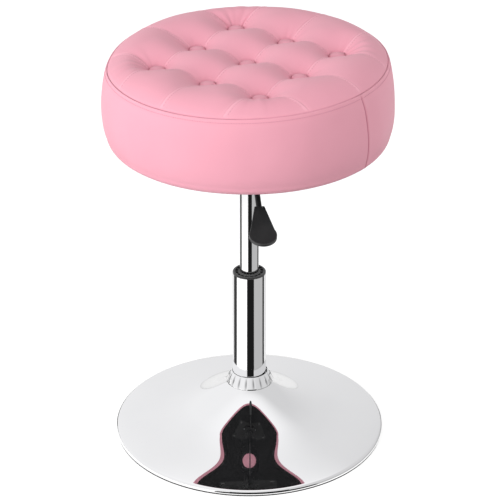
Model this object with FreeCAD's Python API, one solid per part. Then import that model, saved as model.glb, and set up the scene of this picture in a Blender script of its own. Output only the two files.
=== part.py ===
import FreeCAD
import Part
import math
import os

from FreeCAD import Vector

# Vanity stool: a round button-tufted seat on a gas lift, which stands on a pressed trumpet base.
# Lengths are in millimetres and angles in degrees. The origin is on the floor below the column's
# axis, +Z is up, the release lever points to -Y, and the seat is at its highest.

# Clearances
FIT_GAP = 0.05          # round pieces pressed or slid together
RUNNING_GAP = 0.06      # shafts that turn or slide in their bores
WELD_GAP = 0.2          # between pieces that a weld bead joins
SEAT_GAP = 0.3          # soft or loose pieces beside what carries them
HOLE_GAP = 0.4          # round a bolt

# Trumpet base
BASE_RADIUS = 200.0
SHELL_WALL = 1.5
NECK_RADIUS = 33.0
NECK_HEIGHT = 78.4
NECK_SLOPE = 60.0
NECK_PULL = 8.8         # how far the neck's slope carries into the flare
FLARE_RADIUS = 148.0    # where the hollow flare turns over into the rim
FLARE_HEIGHT = 21.3
FLARE_SLOPE = 10.3
FLARE_PULL = 85.5       # how far the flare's slope carries back to the neck
RIM_SLOPE = 17.4
RIM_HEIGHT = 4.6        # top of the rim's upright edge
RIM_ROUND = 5.0
FLOOR_RING_THICK = 2.5
FLOOR_RING_WIDTH = 13.0
FLOOR_RING_INSET = 0.6
FLOOR_RING_LIP = 2.0
FLOOR_RING_LIP_WIDTH = 4.0
BASE_PLATE_THICK = 3.0
BASE_SOCKET_WALL = 4.5
BASE_SOCKET_LIP = 4.0   # socket above the shell's neck
BASE_SOCKET_TAIL = 4.5  # socket below the base plate
RING_OVERHANG = 2.2     # base ring beyond the neck
RING_ROUND = 15.7
RING_WALL = 1.6
RING_BELLY = 2.6        # base ring's widest part above its foot
RING_TUBE_GAP = 0.25

# Column
TUBE_RADIUS = 25.0
TUBE_WALL = 1.8
TUBE_TOP = 260.0
TUBE_INSET = 2.0        # tube's foot above the socket's foot
TAPER_SLOPE = 1.43
TAPER_START = 1.0       # taper's top above the socket
END_PLATE_THICK = 4.0
BUSH_LENGTH = 75.0
BUSH_FLANGE = 2.0
BUSH_INSET = 1.0        # collar inside the tube's outline
BUSH_ROUND = 0.8
BUSH_GROOVE_INNER = 16.4
BUSH_GROOVE_OUTER = 20.6
BUSH_GROOVE_DEPTH = 3.0
BUSH_RIBS = 16
BUSH_RIB_WIDTH = 1.4

# Thrust bearing and buffer at the column's foot
WASHER_RADIUS = 15.0
WASHER_THICK = 2.0
BALL_RADIUS = 1.9
BALL_CIRCLE = 10.5
BALL_COUNT = 12
BALL_GAP = 0.1
CAGE_THICK = 2.4
CAGE_EDGE = 1.2         # cage beyond its ball pockets
BUFFER_RADIUS = 12.5
BUFFER_HEIGHT = 20.0
CLIP_RADIUS = 8.5
CLIP_THICK = 1.2
CLIP_GROOVE = 1.0
CLIP_MOUTH = 4.0
ROD_TAIL = 1.6          # rod below its clip

# Gas lift
LIFT_STROKE = 140.0
STROKE_GAP = 0.5
ROD_RADIUS = 5.0
ROD_NECK_RADIUS = 3.5
CYLINDER_RADIUS = 14.0
CYLINDER_WALL = 2.0
CYLINDER_TAPER_LENGTH = 36.0
CYLINDER_LIP = 1.5
CYLINDER_LIP_BORE = 7.5
GLAND_LENGTH = 18.0
PISTON_LENGTH = 15.0
SEAL_HEIGHT = 3.0
SEAL_DEPTH = 1.6
NUT_RADIUS = 6.5
NUT_HEIGHT = 5.0
VALVE_LENGTH = 40.0
PIN_RADIUS = 3.0
PIN_LENGTH = 28.0
PIN_STAND = 7.7         # release pin above the cylinder
PIN_BORE_DEPTH = 27.0

# Seat plate, bolted under the board, and its taper socket
LEVER_TURN = 5.5        # lever and plate about the column, seen from above
PLATE_THICK = 2.5
PLATE_HALF_X = 95.0
PLATE_HALF_Y = 75.0
PLATE_CORNER = 14.0
HAT_HALF_X = 36.0
HAT_HALF_Y = 48.0
HAT_CORNER = 10.0
HAT_DEPTH = 52.0
BOLT_HALF_X = 80.0
BOLT_HALF_Y = 60.0
TAPER_SOCKET_RADIUS = 21.0
TAPER_SOCKET_TAIL = 20.0    # below the hat
TAPER_SOCKET_HEAD = 8.0     # above the hat's floor underside
TAPER_SOCKET_CHAMFER = 1.5
CYLINDER_STAND = 4.0        # cylinder above its socket
BOLT_RADIUS = 3.0
BOLT_HEAD_RADIUS = 5.5
BOLT_HEAD_HEIGHT = 4.0
BOLT_WASHER_RADIUS = 7.0
BOLT_WASHER_THICK = 1.4
NUT_BARREL_RADIUS = 4.2
NUT_BARREL_LENGTH = 9.0
NUT_FLANGE_RADIUS = 9.0
NUT_FLANGE_THICK = 1.2

# Release lever
LEVER_RADIUS = 4.0
LEVER_SLOPE = 16.0
LEVER_LIFT = 8.0        # tipped up to open the valve
LEVER_OFFSET = 3.0      # rod beside the column's axis
LEVER_INNER = 8.0       # rod beyond the release pin
PIVOT_REACH = 30.0      # pivot from the column's axis
PIVOT_RADIUS = 3.0
PIVOT_SLEEVE_RADIUS = 6.0
PIVOT_HEAD_RADIUS = 5.5
PIVOT_HEAD_THICK = 2.0
PIVOT_CLIP_THICK = 1.0
PIVOT_TAIL = 3.0
SLOT_GAP = 3.0
PIN_GAP = 0.3
PADDLE_START = 87.5     # along the rod from the pivot
PADDLE_LENGTH = 74.7
PADDLE_NECK_HALF = 7.0
PADDLE_END_RADIUS = 19.2
PADDLE_NECK_THICK = 12.0
PADDLE_END_THICK = 5.0
PADDLE_ROUND = 1.2
PADDLE_GRIP = 18.0      # rod inside the paddle

# Seat
BOARD_BOTTOM = 480.0
BOARD_THICK = 12.0
BOARD_MARGIN = 7.5      # board inside the seat's foot
COVER_THICK = 1.4
SEAT_FOOT_RADIUS = 199.5
SEAT_FOOT_ROUND = 6.0
SEAM_RADIUS = 196.2
SIDE_HEIGHT = 114.0         # seam above the board's underside
SIDE_PULL_RADIUS = 207.5    # pulls the side out to its widest, 205
SIDE_PULL_TOP = 22.0        # below the seam
SIDE_PULL_FOOT = 20.0       # above the foot
CROWN_RISE = 17.0           # crown above the seam
SHOULDER_WIDTH = 44.75      # crown's rounded edge, in from the seam
FLAP_WIDTH = 20.0
DUST_THICK = 0.6
DUST_MARGIN = 8.0       # dust cover inside the board
DUST_STEP = 5.0
STAPLE_COUNT = 36
STAPLE_LENGTH = 10.0
STAPLE_WIDTH = 1.0
STAPLE_THICK = 0.5
STAPLE_INSET = 5.0      # staples inside the dust cover's edge

# Tufting
BUTTON_SPACING = 90.0
BUTTON_ROW_COUNT = 3
GRID_TURN = -37.4
BUTTON_RADIUS = 11.5
BUTTON_HEIGHT = 5.5
BUTTON_EDGE = 1.5
BUTTON_SINK = 23.5      # cover under a button, below the crown
DIMPLE_FLOOR_RADIUS = 13.0
DIMPLE_RADIUS = 34.0    # at the crown
GROOVE_DEPTH = 8.0
GROOVE_HALF = 17.0      # half the sewn channel's width at the crown
TUFT_OVERCUT = 2.0      # hollows cut on above the crown
TIE_RADIUS = 0.8
TIE_HOLE_RADIUS = 1.6
TOGGLE_RADIUS = 7.0
TOGGLE_THICK = 2.0

UP = Vector(0, 0, 1)
ORIGIN = Vector(0, 0, 0)
parts = {}


def turned(start, *steps):
    """Solid turned about Z from a closed outline of (radius, height) points.

    A step that is one point is a straight run to it. A step of two points is an arc through the
    first, and a step of three points is a curve that the first two pull.
    """
    edges = []
    here = Vector(start[0], 0, start[1])
    for step in steps + (start,):
        pairs = step if isinstance(step, list) else [step]
        points = [here] + [Vector(radius, 0, height) for radius, height in pairs]
        if len(points) == 2:
            edges.append(Part.makeLine(points[0], points[1]))
        elif len(points) == 3:
            edges.append(Part.Arc(*points).toShape())
        else:
            curve = Part.BezierCurve()
            curve.setPoles(points)
            edges.append(curve.toShape())
        here = points[-1]
    return Part.Face(Part.Wire(edges)).revolve(ORIGIN, UP, 360)


def disc(radius, low, high, bore=0.0):
    """Round plate or sleeve between two heights."""
    plate = Part.makeCylinder(radius, high - low, Vector(0, 0, low))
    if bore > 0:
        plate = plate.cut(Part.makeCylinder(bore, high - low, Vector(0, 0, low)))
    return plate


def peg(x, y, radius, low, high):
    """Upright cylinder at a place."""
    return Part.makeCylinder(radius, high - low, Vector(x, y, low))


def block(low_x, high_x, low_y, high_y, low_z, high_z):
    """Box between its faces."""
    size = (high_x - low_x, high_y - low_y, high_z - low_z)
    return Part.makeBox(*size, Vector(low_x, low_y, low_z))


def rounded_block(half_x, half_y, corner, low, high):
    """Upright box about the axis with rounded corners."""
    solid = block(-half_x, half_x, -half_y, half_y, low, high)
    upright = [edge for edge in solid.Edges if abs(edge.tangentAt(edge.FirstParameter).z) > 0.99]
    return solid.makeFillet(corner, upright)


def about_column(shape):
    """Shape turned with the seat plate and its lever."""
    return shape.rotated(ORIGIN, UP, LEVER_TURN)


def sloping(point, slope, length):
    """Point that lies a length away, going outward and down at a slope."""
    angle = math.radians(slope)
    return (point[0] + length * math.cos(angle), point[1] - length * math.sin(angle))


def inside(point, slope, wall):
    """Point on the wall's inner face below a point of its sloping outer face."""
    angle = math.radians(slope)
    return (point[0] - wall * math.sin(angle), point[1] - wall * math.cos(angle))


# Base shell: one pressed sheet, hollow below, from the neck's weld to the rolled rim

base_socket_radius = TUBE_RADIUS + BASE_SOCKET_WALL
rim_centre = BASE_RADIUS - RIM_ROUND
rim_turn = math.radians(90 - RIM_SLOPE)
neck = (NECK_RADIUS, NECK_HEIGHT)
flare = (FLARE_RADIUS, FLARE_HEIGHT)
rim = (rim_centre + RIM_ROUND * math.cos(rim_turn), RIM_HEIGHT + RIM_ROUND * math.sin(rim_turn))
rim_pull = (rim[0] - flare[0]) / 3
neck_inner = inside(neck, NECK_SLOPE, SHELL_WALL)
neck_run = (neck_inner[0] - base_socket_radius - WELD_GAP) / math.cos(math.radians(NECK_SLOPE))
neck_top = sloping(neck, NECK_SLOPE, -neck_run)


def shell_face(depth):
    """Steps down the shell, from the neck to the rim's edge, at a depth below its outer face."""
    top, middle, low = (
        inside(point, slope, depth)
        for point, slope in ((neck, NECK_SLOPE), (flare, FLARE_SLOPE), (rim, RIM_SLOPE))
    )
    turn = RIM_ROUND - depth
    half = rim_turn / 2
    return [
        inside(neck_top, NECK_SLOPE, depth),
        top,
        [sloping(top, NECK_SLOPE, NECK_PULL), sloping(middle, FLARE_SLOPE, -FLARE_PULL), middle],
        [sloping(middle, FLARE_SLOPE, rim_pull), sloping(low, RIM_SLOPE, -rim_pull), low],
        [(rim_centre + turn * math.cos(half), RIM_HEIGHT + turn * math.sin(half)),
         (rim_centre + turn, RIM_HEIGHT)],
        (rim_centre + turn, FLOOR_RING_THICK),
    ]


def shell_region(depth):
    """Everything below one face of the shell, down to the floor ring."""
    steps = shell_face(depth)
    return turned((0, FLOOR_RING_THICK), (0, steps[0][1]), *steps)


shell_hole = disc(base_socket_radius + WELD_GAP, FLOOR_RING_THICK, neck_top[1])
parts["base_shell"] = shell_region(0).cut(shell_region(SHELL_WALL)).cut(shell_hole)

# Floor ring: moulded rubber, its lip inside the rim's edge

floor_outer = BASE_RADIUS - FLOOR_RING_INSET
floor_inner = floor_outer - FLOOR_RING_WIDTH
lip_outer = BASE_RADIUS - SHELL_WALL - SEAT_GAP
lip_inner = lip_outer - FLOOR_RING_LIP_WIDTH
lip_top = FLOOR_RING_THICK + FLOOR_RING_LIP
parts["floor_ring"] = turned(
    (floor_inner, 0),
    (floor_outer, 0),
    (floor_outer, FLOOR_RING_THICK),
    (lip_outer, FLOOR_RING_THICK),
    (lip_outer, lip_top),
    (lip_inner, lip_top),
    (lip_inner, FLOOR_RING_THICK),
    (floor_inner, FLOOR_RING_THICK),
)

# Base plate: flat steel disc welded inside the flare and round the socket

base_plate_top = inside(flare, FLARE_SLOPE, SHELL_WALL)[1] - WELD_GAP
base_plate_bottom = base_plate_top - BASE_PLATE_THICK
base_plate_radius = inside(flare, FLARE_SLOPE, SHELL_WALL)[0]
parts["base_plate"] = disc(
    base_plate_radius, base_plate_bottom, base_plate_top, base_socket_radius + WELD_GAP
)

# Base socket: steel sleeve with the taper that wedges the column

socket_bottom = base_plate_bottom - BASE_SOCKET_TAIL
socket_top = neck_top[1] + BASE_SOCKET_LIP
tube_bottom = socket_bottom + TUBE_INSET
taper_top = socket_top + TAPER_START
taper_fall = math.tan(math.radians(TAPER_SLOPE))


def tube_radius_at(height):
    """Outer radius of the column tube, which narrows below the top of its taper."""
    return TUBE_RADIUS - max(0, taper_top - height) * taper_fall


parts["base_socket"] = turned(
    (tube_radius_at(socket_bottom) + FIT_GAP, socket_bottom),
    (base_socket_radius, socket_bottom),
    (base_socket_radius, socket_top),
    (tube_radius_at(socket_top) + FIT_GAP, socket_top),
)

# Base ring: chromed, it hides the weld between the neck and the socket

ring_radius = NECK_RADIUS + RING_OVERHANG
ring_bore = TUBE_RADIUS + RING_TUBE_GAP
ring_centre = (ring_radius - RING_ROUND, NECK_HEIGHT + RING_BELLY)
ring_foot = NECK_RADIUS + 2 * WELD_GAP


def ring_arc(radius):
    """Half-way and top points of the ring's rounded shoulder."""
    top = math.acos((ring_bore - ring_centre[0]) / radius)
    places = (top / 2, top)
    return [
        (ring_centre[0] + radius * math.cos(a), ring_centre[1] + radius * math.sin(a)) for a in places
    ]


ring_inner = ring_arc(RING_ROUND - RING_WALL)
parts["base_ring"] = turned(
    (ring_foot, NECK_HEIGHT),
    (ring_radius - RING_WALL / 2, NECK_HEIGHT),
    (ring_radius, ring_centre[1]),
    ring_arc(RING_ROUND),
    ring_inner[1],
    [ring_inner[0], (ring_radius - RING_WALL, ring_centre[1])],
)

# Column tube: chromed steel, swaged to the socket's taper

parts["column_tube"] = turned(
    (tube_radius_at(tube_bottom) - TUBE_WALL, tube_bottom),
    (tube_radius_at(tube_bottom), tube_bottom),
    (TUBE_RADIUS, taper_top),
    (TUBE_RADIUS, TUBE_TOP),
    (TUBE_RADIUS - TUBE_WALL, TUBE_TOP),
    (TUBE_RADIUS - TUBE_WALL, taper_top),
)

# Column end plate: welded in the tube's foot, it carries the bearing

end_plate_top = tube_bottom + END_PLATE_THICK
rod_hole = ROD_RADIUS + SEAT_GAP
parts["column_end_plate"] = disc(
    tube_radius_at(tube_bottom) - TUBE_WALL - WELD_GAP, tube_bottom, end_plate_top, rod_hole
)

# Guide bush: black plastic sleeve that guides the cylinder, with a ribbed collar on the tube

bush_top = TUBE_TOP + BUSH_FLANGE
bush_bore = CYLINDER_RADIUS + RUNNING_GAP
bush_radius = TUBE_RADIUS - TUBE_WALL - FIT_GAP
bush_flange_radius = TUBE_RADIUS - BUSH_INSET
bush = turned(
    (bush_bore, TUBE_TOP - BUSH_LENGTH),
    (bush_radius, TUBE_TOP - BUSH_LENGTH),
    (bush_radius, TUBE_TOP),
    (bush_flange_radius, TUBE_TOP),
    (bush_flange_radius, bush_top - BUSH_ROUND),
    (bush_flange_radius - BUSH_ROUND, bush_top),
    (BUSH_GROOVE_OUTER, bush_top),
    (BUSH_GROOVE_OUTER, bush_top - BUSH_ROUND),
    (bush_bore, bush_top - BUSH_ROUND),
)
pockets = disc(BUSH_GROOVE_OUTER, bush_top - BUSH_GROOVE_DEPTH, bush_top - BUSH_ROUND, BUSH_GROOVE_INNER)
rib = block(
    0, bush_flange_radius, -BUSH_RIB_WIDTH / 2, BUSH_RIB_WIDTH / 2,
    bush_top - BUSH_GROOVE_DEPTH, bush_top,
)
ribs = [rib.rotated(ORIGIN, UP, 360 * i / BUSH_RIBS) for i in range(BUSH_RIBS)]
parts["guide_bush"] = bush.cut(pockets.cut(ribs)).removeSplitter()

# Thrust bearing: two steel washers with a cage of balls between them

lower_race = end_plate_top + WASHER_THICK
upper_race = lower_race + 2 * (BALL_RADIUS + BALL_GAP)
ball_height = lower_race + BALL_RADIUS + BALL_GAP
parts["bearing_lower_washer"] = disc(WASHER_RADIUS, end_plate_top, lower_race, rod_hole)
ball_places = []
for i in range(BALL_COUNT):
    angle = 2 * math.pi * i / BALL_COUNT
    ball_places.append(Vector(BALL_CIRCLE * math.cos(angle), BALL_CIRCLE * math.sin(angle), ball_height))
cage = disc(
    BALL_CIRCLE + BALL_RADIUS + CAGE_EDGE,
    ball_height - CAGE_THICK / 2,
    ball_height + CAGE_THICK / 2,
    rod_hole,
)
parts["bearing_cage"] = cage.cut([Part.makeSphere(BALL_RADIUS + FIT_GAP, place) for place in ball_places])
parts["bearing_balls"] = Part.makeCompound([Part.makeSphere(BALL_RADIUS, place) for place in ball_places])
buffer_foot = upper_race + WASHER_THICK
parts["bearing_upper_washer"] = disc(WASHER_RADIUS, upper_race, buffer_foot, ROD_RADIUS + FIT_GAP)

# Buffer: rubber stop that the cylinder comes down on

buffer_top = buffer_foot + BUFFER_HEIGHT
parts["buffer"] = disc(BUFFER_RADIUS, buffer_foot, buffer_top, ROD_RADIUS + FIT_GAP)

# Piston rod: steel, held under the end plate by a washer and a clip in its groove

cylinder_bottom = buffer_top + STROKE_GAP + LIFT_STROKE
gland_bottom = cylinder_bottom + CYLINDER_LIP
gland_top = gland_bottom + GLAND_LENGTH
piston_bottom = gland_top + STROKE_GAP
piston_top = piston_bottom + PISTON_LENGTH
nut_top = piston_top + NUT_HEIGHT
clip_washer_top = tube_bottom - SEAT_GAP
clip_top = clip_washer_top - WASHER_THICK
clip_bottom = clip_top - CLIP_THICK
groove_radius = ROD_RADIUS - CLIP_GROOVE
parts["piston_rod"] = turned(
    (0, clip_bottom - ROD_TAIL),
    (ROD_RADIUS, clip_bottom - ROD_TAIL),
    (ROD_RADIUS, clip_bottom),
    (groove_radius, clip_bottom),
    (groove_radius, clip_top),
    (ROD_RADIUS, clip_top),
    (ROD_RADIUS, piston_bottom),
    (ROD_NECK_RADIUS, piston_bottom),
    (ROD_NECK_RADIUS, nut_top),
    (0, nut_top),
)
parts["clip_washer"] = disc(WASHER_RADIUS, clip_top, clip_washer_top, ROD_RADIUS + FIT_GAP)
clip_mouth = block(0, CLIP_RADIUS, -CLIP_MOUTH / 2, CLIP_MOUTH / 2, clip_bottom, clip_top)
clip = disc(CLIP_RADIUS, clip_bottom, clip_top, groove_radius + FIT_GAP)
parts["retaining_clip"] = clip.cut(clip_mouth)

# Piston: with a rubber seal in its groove and a nut on the rod's neck

cylinder_bore = CYLINDER_RADIUS - CYLINDER_WALL
piston_radius = cylinder_bore - RUNNING_GAP
seal_bottom = (piston_bottom + piston_top - SEAL_HEIGHT) / 2
seal_top = seal_bottom + SEAL_HEIGHT
seal_groove = piston_radius - SEAL_DEPTH
piston = disc(piston_radius, piston_bottom, piston_top, ROD_NECK_RADIUS + FIT_GAP)
parts["piston"] = piston.cut(disc(piston_radius, seal_bottom, seal_top, seal_groove))
parts["piston_seal"] = disc(
    piston_radius, seal_bottom + FIT_GAP, seal_top - FIT_GAP, seal_groove + FIT_GAP
)
nut_corners = [Vector(NUT_RADIUS * math.cos(a), NUT_RADIUS * math.sin(a), piston_top)
               for a in (math.radians(60 * i) for i in range(7))]
nut = Part.Face(Part.makePolygon(nut_corners)).extrude(Vector(0, 0, NUT_HEIGHT))
parts["piston_nut"] = nut.cut(disc(ROD_NECK_RADIUS + FIT_GAP, piston_top, nut_top))

# Gas cylinder: chromed steel with a tapered head, its foot turned in under the gland

dust_top = BOARD_BOTTOM - DUST_THICK
hat_bottom = dust_top - HAT_DEPTH
taper_socket_top = hat_bottom + TAPER_SOCKET_HEAD
taper_socket_bottom = hat_bottom - TAPER_SOCKET_TAIL
cylinder_top = taper_socket_top + CYLINDER_STAND
head_start = cylinder_top - CYLINDER_TAPER_LENGTH


def cylinder_radius_at(height):
    """Outer radius of the cylinder, which narrows over its tapered head."""
    return CYLINDER_RADIUS - max(0, height - head_start) * taper_fall


valve_bottom = cylinder_top - VALVE_LENGTH
parts["gas_cylinder"] = turned(
    (CYLINDER_LIP_BORE, cylinder_bottom),
    (CYLINDER_RADIUS, cylinder_bottom),
    (CYLINDER_RADIUS, head_start),
    (cylinder_radius_at(cylinder_top), cylinder_top),
    (cylinder_bore, cylinder_top),
    (cylinder_bore, gland_bottom),
    (CYLINDER_LIP_BORE, gland_bottom),
)
parts["rod_gland"] = disc(cylinder_bore - FIT_GAP, gland_bottom, gland_top, ROD_RADIUS + RUNNING_GAP)
valve_bore = disc(PIN_RADIUS + RUNNING_GAP, cylinder_top - PIN_BORE_DEPTH, cylinder_top)
parts["valve_body"] = disc(cylinder_bore - FIT_GAP, valve_bottom, cylinder_top).cut(valve_bore)

# Release pin: round-headed steel pin that opens the valve when the lever presses it

pin_top = cylinder_top + PIN_STAND
pin_centre = pin_top - PIN_RADIUS
half_turn = math.sqrt(0.5) * PIN_RADIUS
parts["release_pin"] = turned(
    (0, pin_top - PIN_LENGTH),
    (PIN_RADIUS, pin_top - PIN_LENGTH),
    (PIN_RADIUS, pin_centre),
    [(half_turn, pin_centre + half_turn), (0, pin_top)],
)

# Lever pivot: a pin across the seat plate's hat, its height set by the lever's rest on the pin

slope = math.radians(LEVER_SLOPE)
lever_reach = PIN_RADIUS + LEVER_RADIUS + PIN_GAP
lever_over_pin = math.sqrt(lever_reach ** 2 - LEVER_OFFSET ** 2) / math.cos(slope)
pivot_height = pin_centre + lever_over_pin - PIVOT_REACH * math.tan(slope)


def cross_bar(radius, low_x, high_x):
    """Cylinder on the pivot's axis, before the plate is turned to its place."""
    return Part.makeCylinder(
        radius, high_x - low_x, Vector(low_x, -PIVOT_REACH, pivot_height), Vector(1, 0, 0)
    )


pin_end = -HAT_HALF_X - PIVOT_CLIP_THICK - PIVOT_TAIL
pin_head_start = HAT_HALF_X + FIT_GAP
pivot = cross_bar(PIVOT_RADIUS, pin_end, pin_head_start + PIVOT_HEAD_THICK)
pivot_head = cross_bar(PIVOT_HEAD_RADIUS, pin_head_start, pin_head_start + PIVOT_HEAD_THICK)
parts["lever_pivot_pin"] = about_column(pivot.fuse(pivot_head).removeSplitter())
clip_face = -HAT_HALF_X - FIT_GAP
pivot_clip = cross_bar(PIVOT_HEAD_RADIUS, clip_face - PIVOT_CLIP_THICK, clip_face)
pivot_clip = pivot_clip.cut(cross_bar(PIVOT_RADIUS + FIT_GAP, pin_end, 0))
parts["pivot_clip"] = about_column(pivot_clip)

# Seat plate: pressed steel flange with a deep hat, a slot for the lever and four bolt holes

bolt_places = [(x, y) for x in (-BOLT_HALF_X, BOLT_HALF_X) for y in (-BOLT_HALF_Y, BOLT_HALF_Y)]
flange_bottom = dust_top - PLATE_THICK
hat_floor = hat_bottom + PLATE_THICK
hat_inner_x = HAT_HALF_X - PLATE_THICK
hat_inner_y = HAT_HALF_Y - PLATE_THICK
wall_reach = HAT_HALF_Y - PIVOT_REACH
slot_half = LEVER_RADIUS + SLOT_GAP
lifted = math.radians(LEVER_SLOPE - LEVER_LIFT)
slot_top = pivot_height - wall_reach * math.tan(lifted) + slot_half
slot_low = pivot_height - wall_reach * math.tan(slope) - slot_half
plate = rounded_block(PLATE_HALF_X, PLATE_HALF_Y, PLATE_CORNER, flange_bottom, dust_top)
plate = plate.fuse(rounded_block(HAT_HALF_X, HAT_HALF_Y, HAT_CORNER, hat_bottom, dust_top))
plate = plate.removeSplitter()
plate_cuts = [
    rounded_block(hat_inner_x, hat_inner_y, HAT_CORNER - PLATE_THICK, hat_floor, dust_top),
    disc(TAPER_SOCKET_RADIUS + FIT_GAP, hat_bottom, hat_floor),
    block(LEVER_OFFSET - slot_half, LEVER_OFFSET + slot_half, -HAT_HALF_Y, -hat_inner_y,
          max(slot_low, hat_floor), slot_top),
    cross_bar(PIVOT_RADIUS + FIT_GAP, -HAT_HALF_X, HAT_HALF_X),
]
plate_cuts += [peg(x, y, BOLT_RADIUS + HOLE_GAP, flange_bottom, dust_top) for x, y in bolt_places]
parts["seat_plate"] = about_column(plate.cut(plate_cuts))

# Taper socket: steel boss welded through the hat's floor, wedged on the cylinder's head

parts["taper_socket"] = turned(
    (cylinder_radius_at(taper_socket_bottom) + FIT_GAP, taper_socket_bottom),
    (TAPER_SOCKET_RADIUS - TAPER_SOCKET_CHAMFER, taper_socket_bottom),
    (TAPER_SOCKET_RADIUS, taper_socket_bottom + TAPER_SOCKET_CHAMFER),
    (TAPER_SOCKET_RADIUS, taper_socket_top),
    (cylinder_radius_at(taper_socket_top) + FIT_GAP, taper_socket_top),
)

# Release lever: a rod with a welded pivot sleeve, and a moulded paddle on its outer end


def along_lever(shape):
    """Shape built at the pivot and pointing to -Y, tipped and moved to its place."""
    tipped = shape.rotated(ORIGIN, Vector(1, 0, 0), LEVER_SLOPE)
    return about_column(tipped.translated(Vector(LEVER_OFFSET, -PIVOT_REACH, pivot_height)))


rod_inner = (PIVOT_REACH + LEVER_INNER) / math.cos(slope)
rod_outer = PADDLE_START + PADDLE_GRIP
rod = Part.makeCylinder(LEVER_RADIUS, rod_inner + rod_outer, Vector(0, rod_inner, 0), Vector(0, -1, 0))
sleeve_low = -hat_inner_x + SEAT_GAP - LEVER_OFFSET
sleeve_length = 2 * (hat_inner_x - SEAT_GAP)
across = Vector(1, 0, 0)
sleeve = Part.makeCylinder(PIVOT_SLEEVE_RADIUS, sleeve_length, Vector(sleeve_low, 0, 0), across)
sleeve_bore = Part.makeCylinder(
    PIVOT_RADIUS + RUNNING_GAP, sleeve_length, Vector(sleeve_low, 0, 0), across
)
parts["lever_rod"] = along_lever(rod.fuse(sleeve).cut(sleeve_bore))

paddle_middle = PADDLE_LENGTH - PADDLE_END_RADIUS
neck_corner = math.hypot(paddle_middle, PADDLE_NECK_HALF)
touch_angle = math.acos(PADDLE_END_RADIUS / neck_corner) - math.atan2(PADDLE_NECK_HALF, paddle_middle)
touch_x = PADDLE_END_RADIUS * math.sin(touch_angle)
touch_y = paddle_middle - PADDLE_END_RADIUS * math.cos(touch_angle)


def paddle_point(x, along):
    """Point of the paddle's outline, below its underside."""
    return Vector(x, -PADDLE_START - along, -PADDLE_NECK_THICK / 2)


paddle_edges = [
    Part.makeLine(paddle_point(-PADDLE_NECK_HALF, 0), paddle_point(PADDLE_NECK_HALF, 0)),
    Part.makeLine(paddle_point(PADDLE_NECK_HALF, 0), paddle_point(touch_x, touch_y)),
    Part.Arc(paddle_point(touch_x, touch_y), paddle_point(0, PADDLE_LENGTH),
             paddle_point(-touch_x, touch_y)).toShape(),
    Part.makeLine(paddle_point(-touch_x, touch_y), paddle_point(-PADDLE_NECK_HALF, 0)),
]
blade = Part.Face(Part.Wire(paddle_edges)).extrude(Vector(0, 0, PADDLE_NECK_THICK))
wedge_corners = [
    (0, PADDLE_NECK_THICK / 2),
    (PADDLE_LENGTH, PADDLE_END_THICK / 2),
    (PADDLE_LENGTH, -PADDLE_END_THICK / 2),
    (0, -PADDLE_NECK_THICK / 2),
    (0, PADDLE_NECK_THICK / 2),
]
wedge_side = [Vector(-PADDLE_END_RADIUS, -PADDLE_START - along, z) for along, z in wedge_corners]
wedge = Part.Face(Part.makePolygon(wedge_side)).extrude(Vector(2 * PADDLE_END_RADIUS, 0, 0))
blade = blade.common(wedge)
blade = blade.makeFillet(PADDLE_ROUND, blade.Edges)
grip_bore = Part.makeCylinder(
    LEVER_RADIUS + FIT_GAP, PADDLE_GRIP + FIT_GAP, Vector(0, -PADDLE_START, 0), Vector(0, -1, 0)
)
parts["lever_paddle"] = along_lever(blade.cut(grip_bore))

# Bolts, washers and T-nuts: four sets hold the seat plate to the board

washer_bottom = flange_bottom - BOLT_WASHER_THICK
board_top = BOARD_BOTTOM + BOARD_THICK
nut_flange_bottom = board_top - NUT_FLANGE_THICK
nut_barrel_bottom = nut_flange_bottom - NUT_BARREL_LENGTH
bolts = []
washers = []
t_nuts = []
for x, y in bolt_places:
    head = peg(x, y, BOLT_HEAD_RADIUS, washer_bottom - BOLT_HEAD_HEIGHT, washer_bottom)
    shank = peg(x, y, BOLT_RADIUS, washer_bottom - BOLT_HEAD_HEIGHT, nut_flange_bottom)
    bolts.append(head.fuse(shank).removeSplitter())
    washer = peg(x, y, BOLT_WASHER_RADIUS, washer_bottom, flange_bottom)
    washers.append(washer.cut(peg(x, y, BOLT_RADIUS + FIT_GAP, washer_bottom, flange_bottom)))
    flange = peg(x, y, NUT_FLANGE_RADIUS, nut_flange_bottom, board_top)
    barrel = peg(x, y, NUT_BARREL_RADIUS, nut_barrel_bottom, board_top)
    thread = peg(x, y, BOLT_RADIUS + FIT_GAP, nut_barrel_bottom, board_top)
    t_nuts.append(flange.fuse(barrel).removeSplitter().cut(thread))
parts["plate_bolts"] = about_column(Part.makeCompound(bolts))
parts["bolt_washers"] = about_column(Part.makeCompound(washers))
parts["t_nuts"] = about_column(Part.makeCompound(t_nuts))

# Seat board: plywood disc, bored for the T-nuts and, at each button, for a tie and its toggle

grid = math.radians(GRID_TURN)
grid_lines = [(i - (BUTTON_ROW_COUNT - 1) / 2) * BUTTON_SPACING for i in range(BUTTON_ROW_COUNT)]
button_places = []
for u in grid_lines:
    for v in grid_lines:
        x = u * math.cos(grid) - v * math.sin(grid)
        y = u * math.sin(grid) + v * math.cos(grid)
        button_places.append((x, y))
board_radius = SEAT_FOOT_RADIUS - BOARD_MARGIN
toggle_top = BOARD_BOTTOM + SEAT_GAP + TOGGLE_THICK
board_cuts = []
for x, y in bolt_places:
    bore = peg(x, y, NUT_BARREL_RADIUS + FIT_GAP, BOARD_BOTTOM, board_top)
    recess = peg(x, y, NUT_FLANGE_RADIUS + FIT_GAP, nut_flange_bottom, board_top)
    board_cuts += [about_column(bore), about_column(recess)]
for x, y in button_places:
    board_cuts.append(peg(x, y, TIE_HOLE_RADIUS, BOARD_BOTTOM, board_top))
    board_cuts.append(peg(x, y, TOGGLE_RADIUS + SEAT_GAP, BOARD_BOTTOM, toggle_top))
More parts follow.
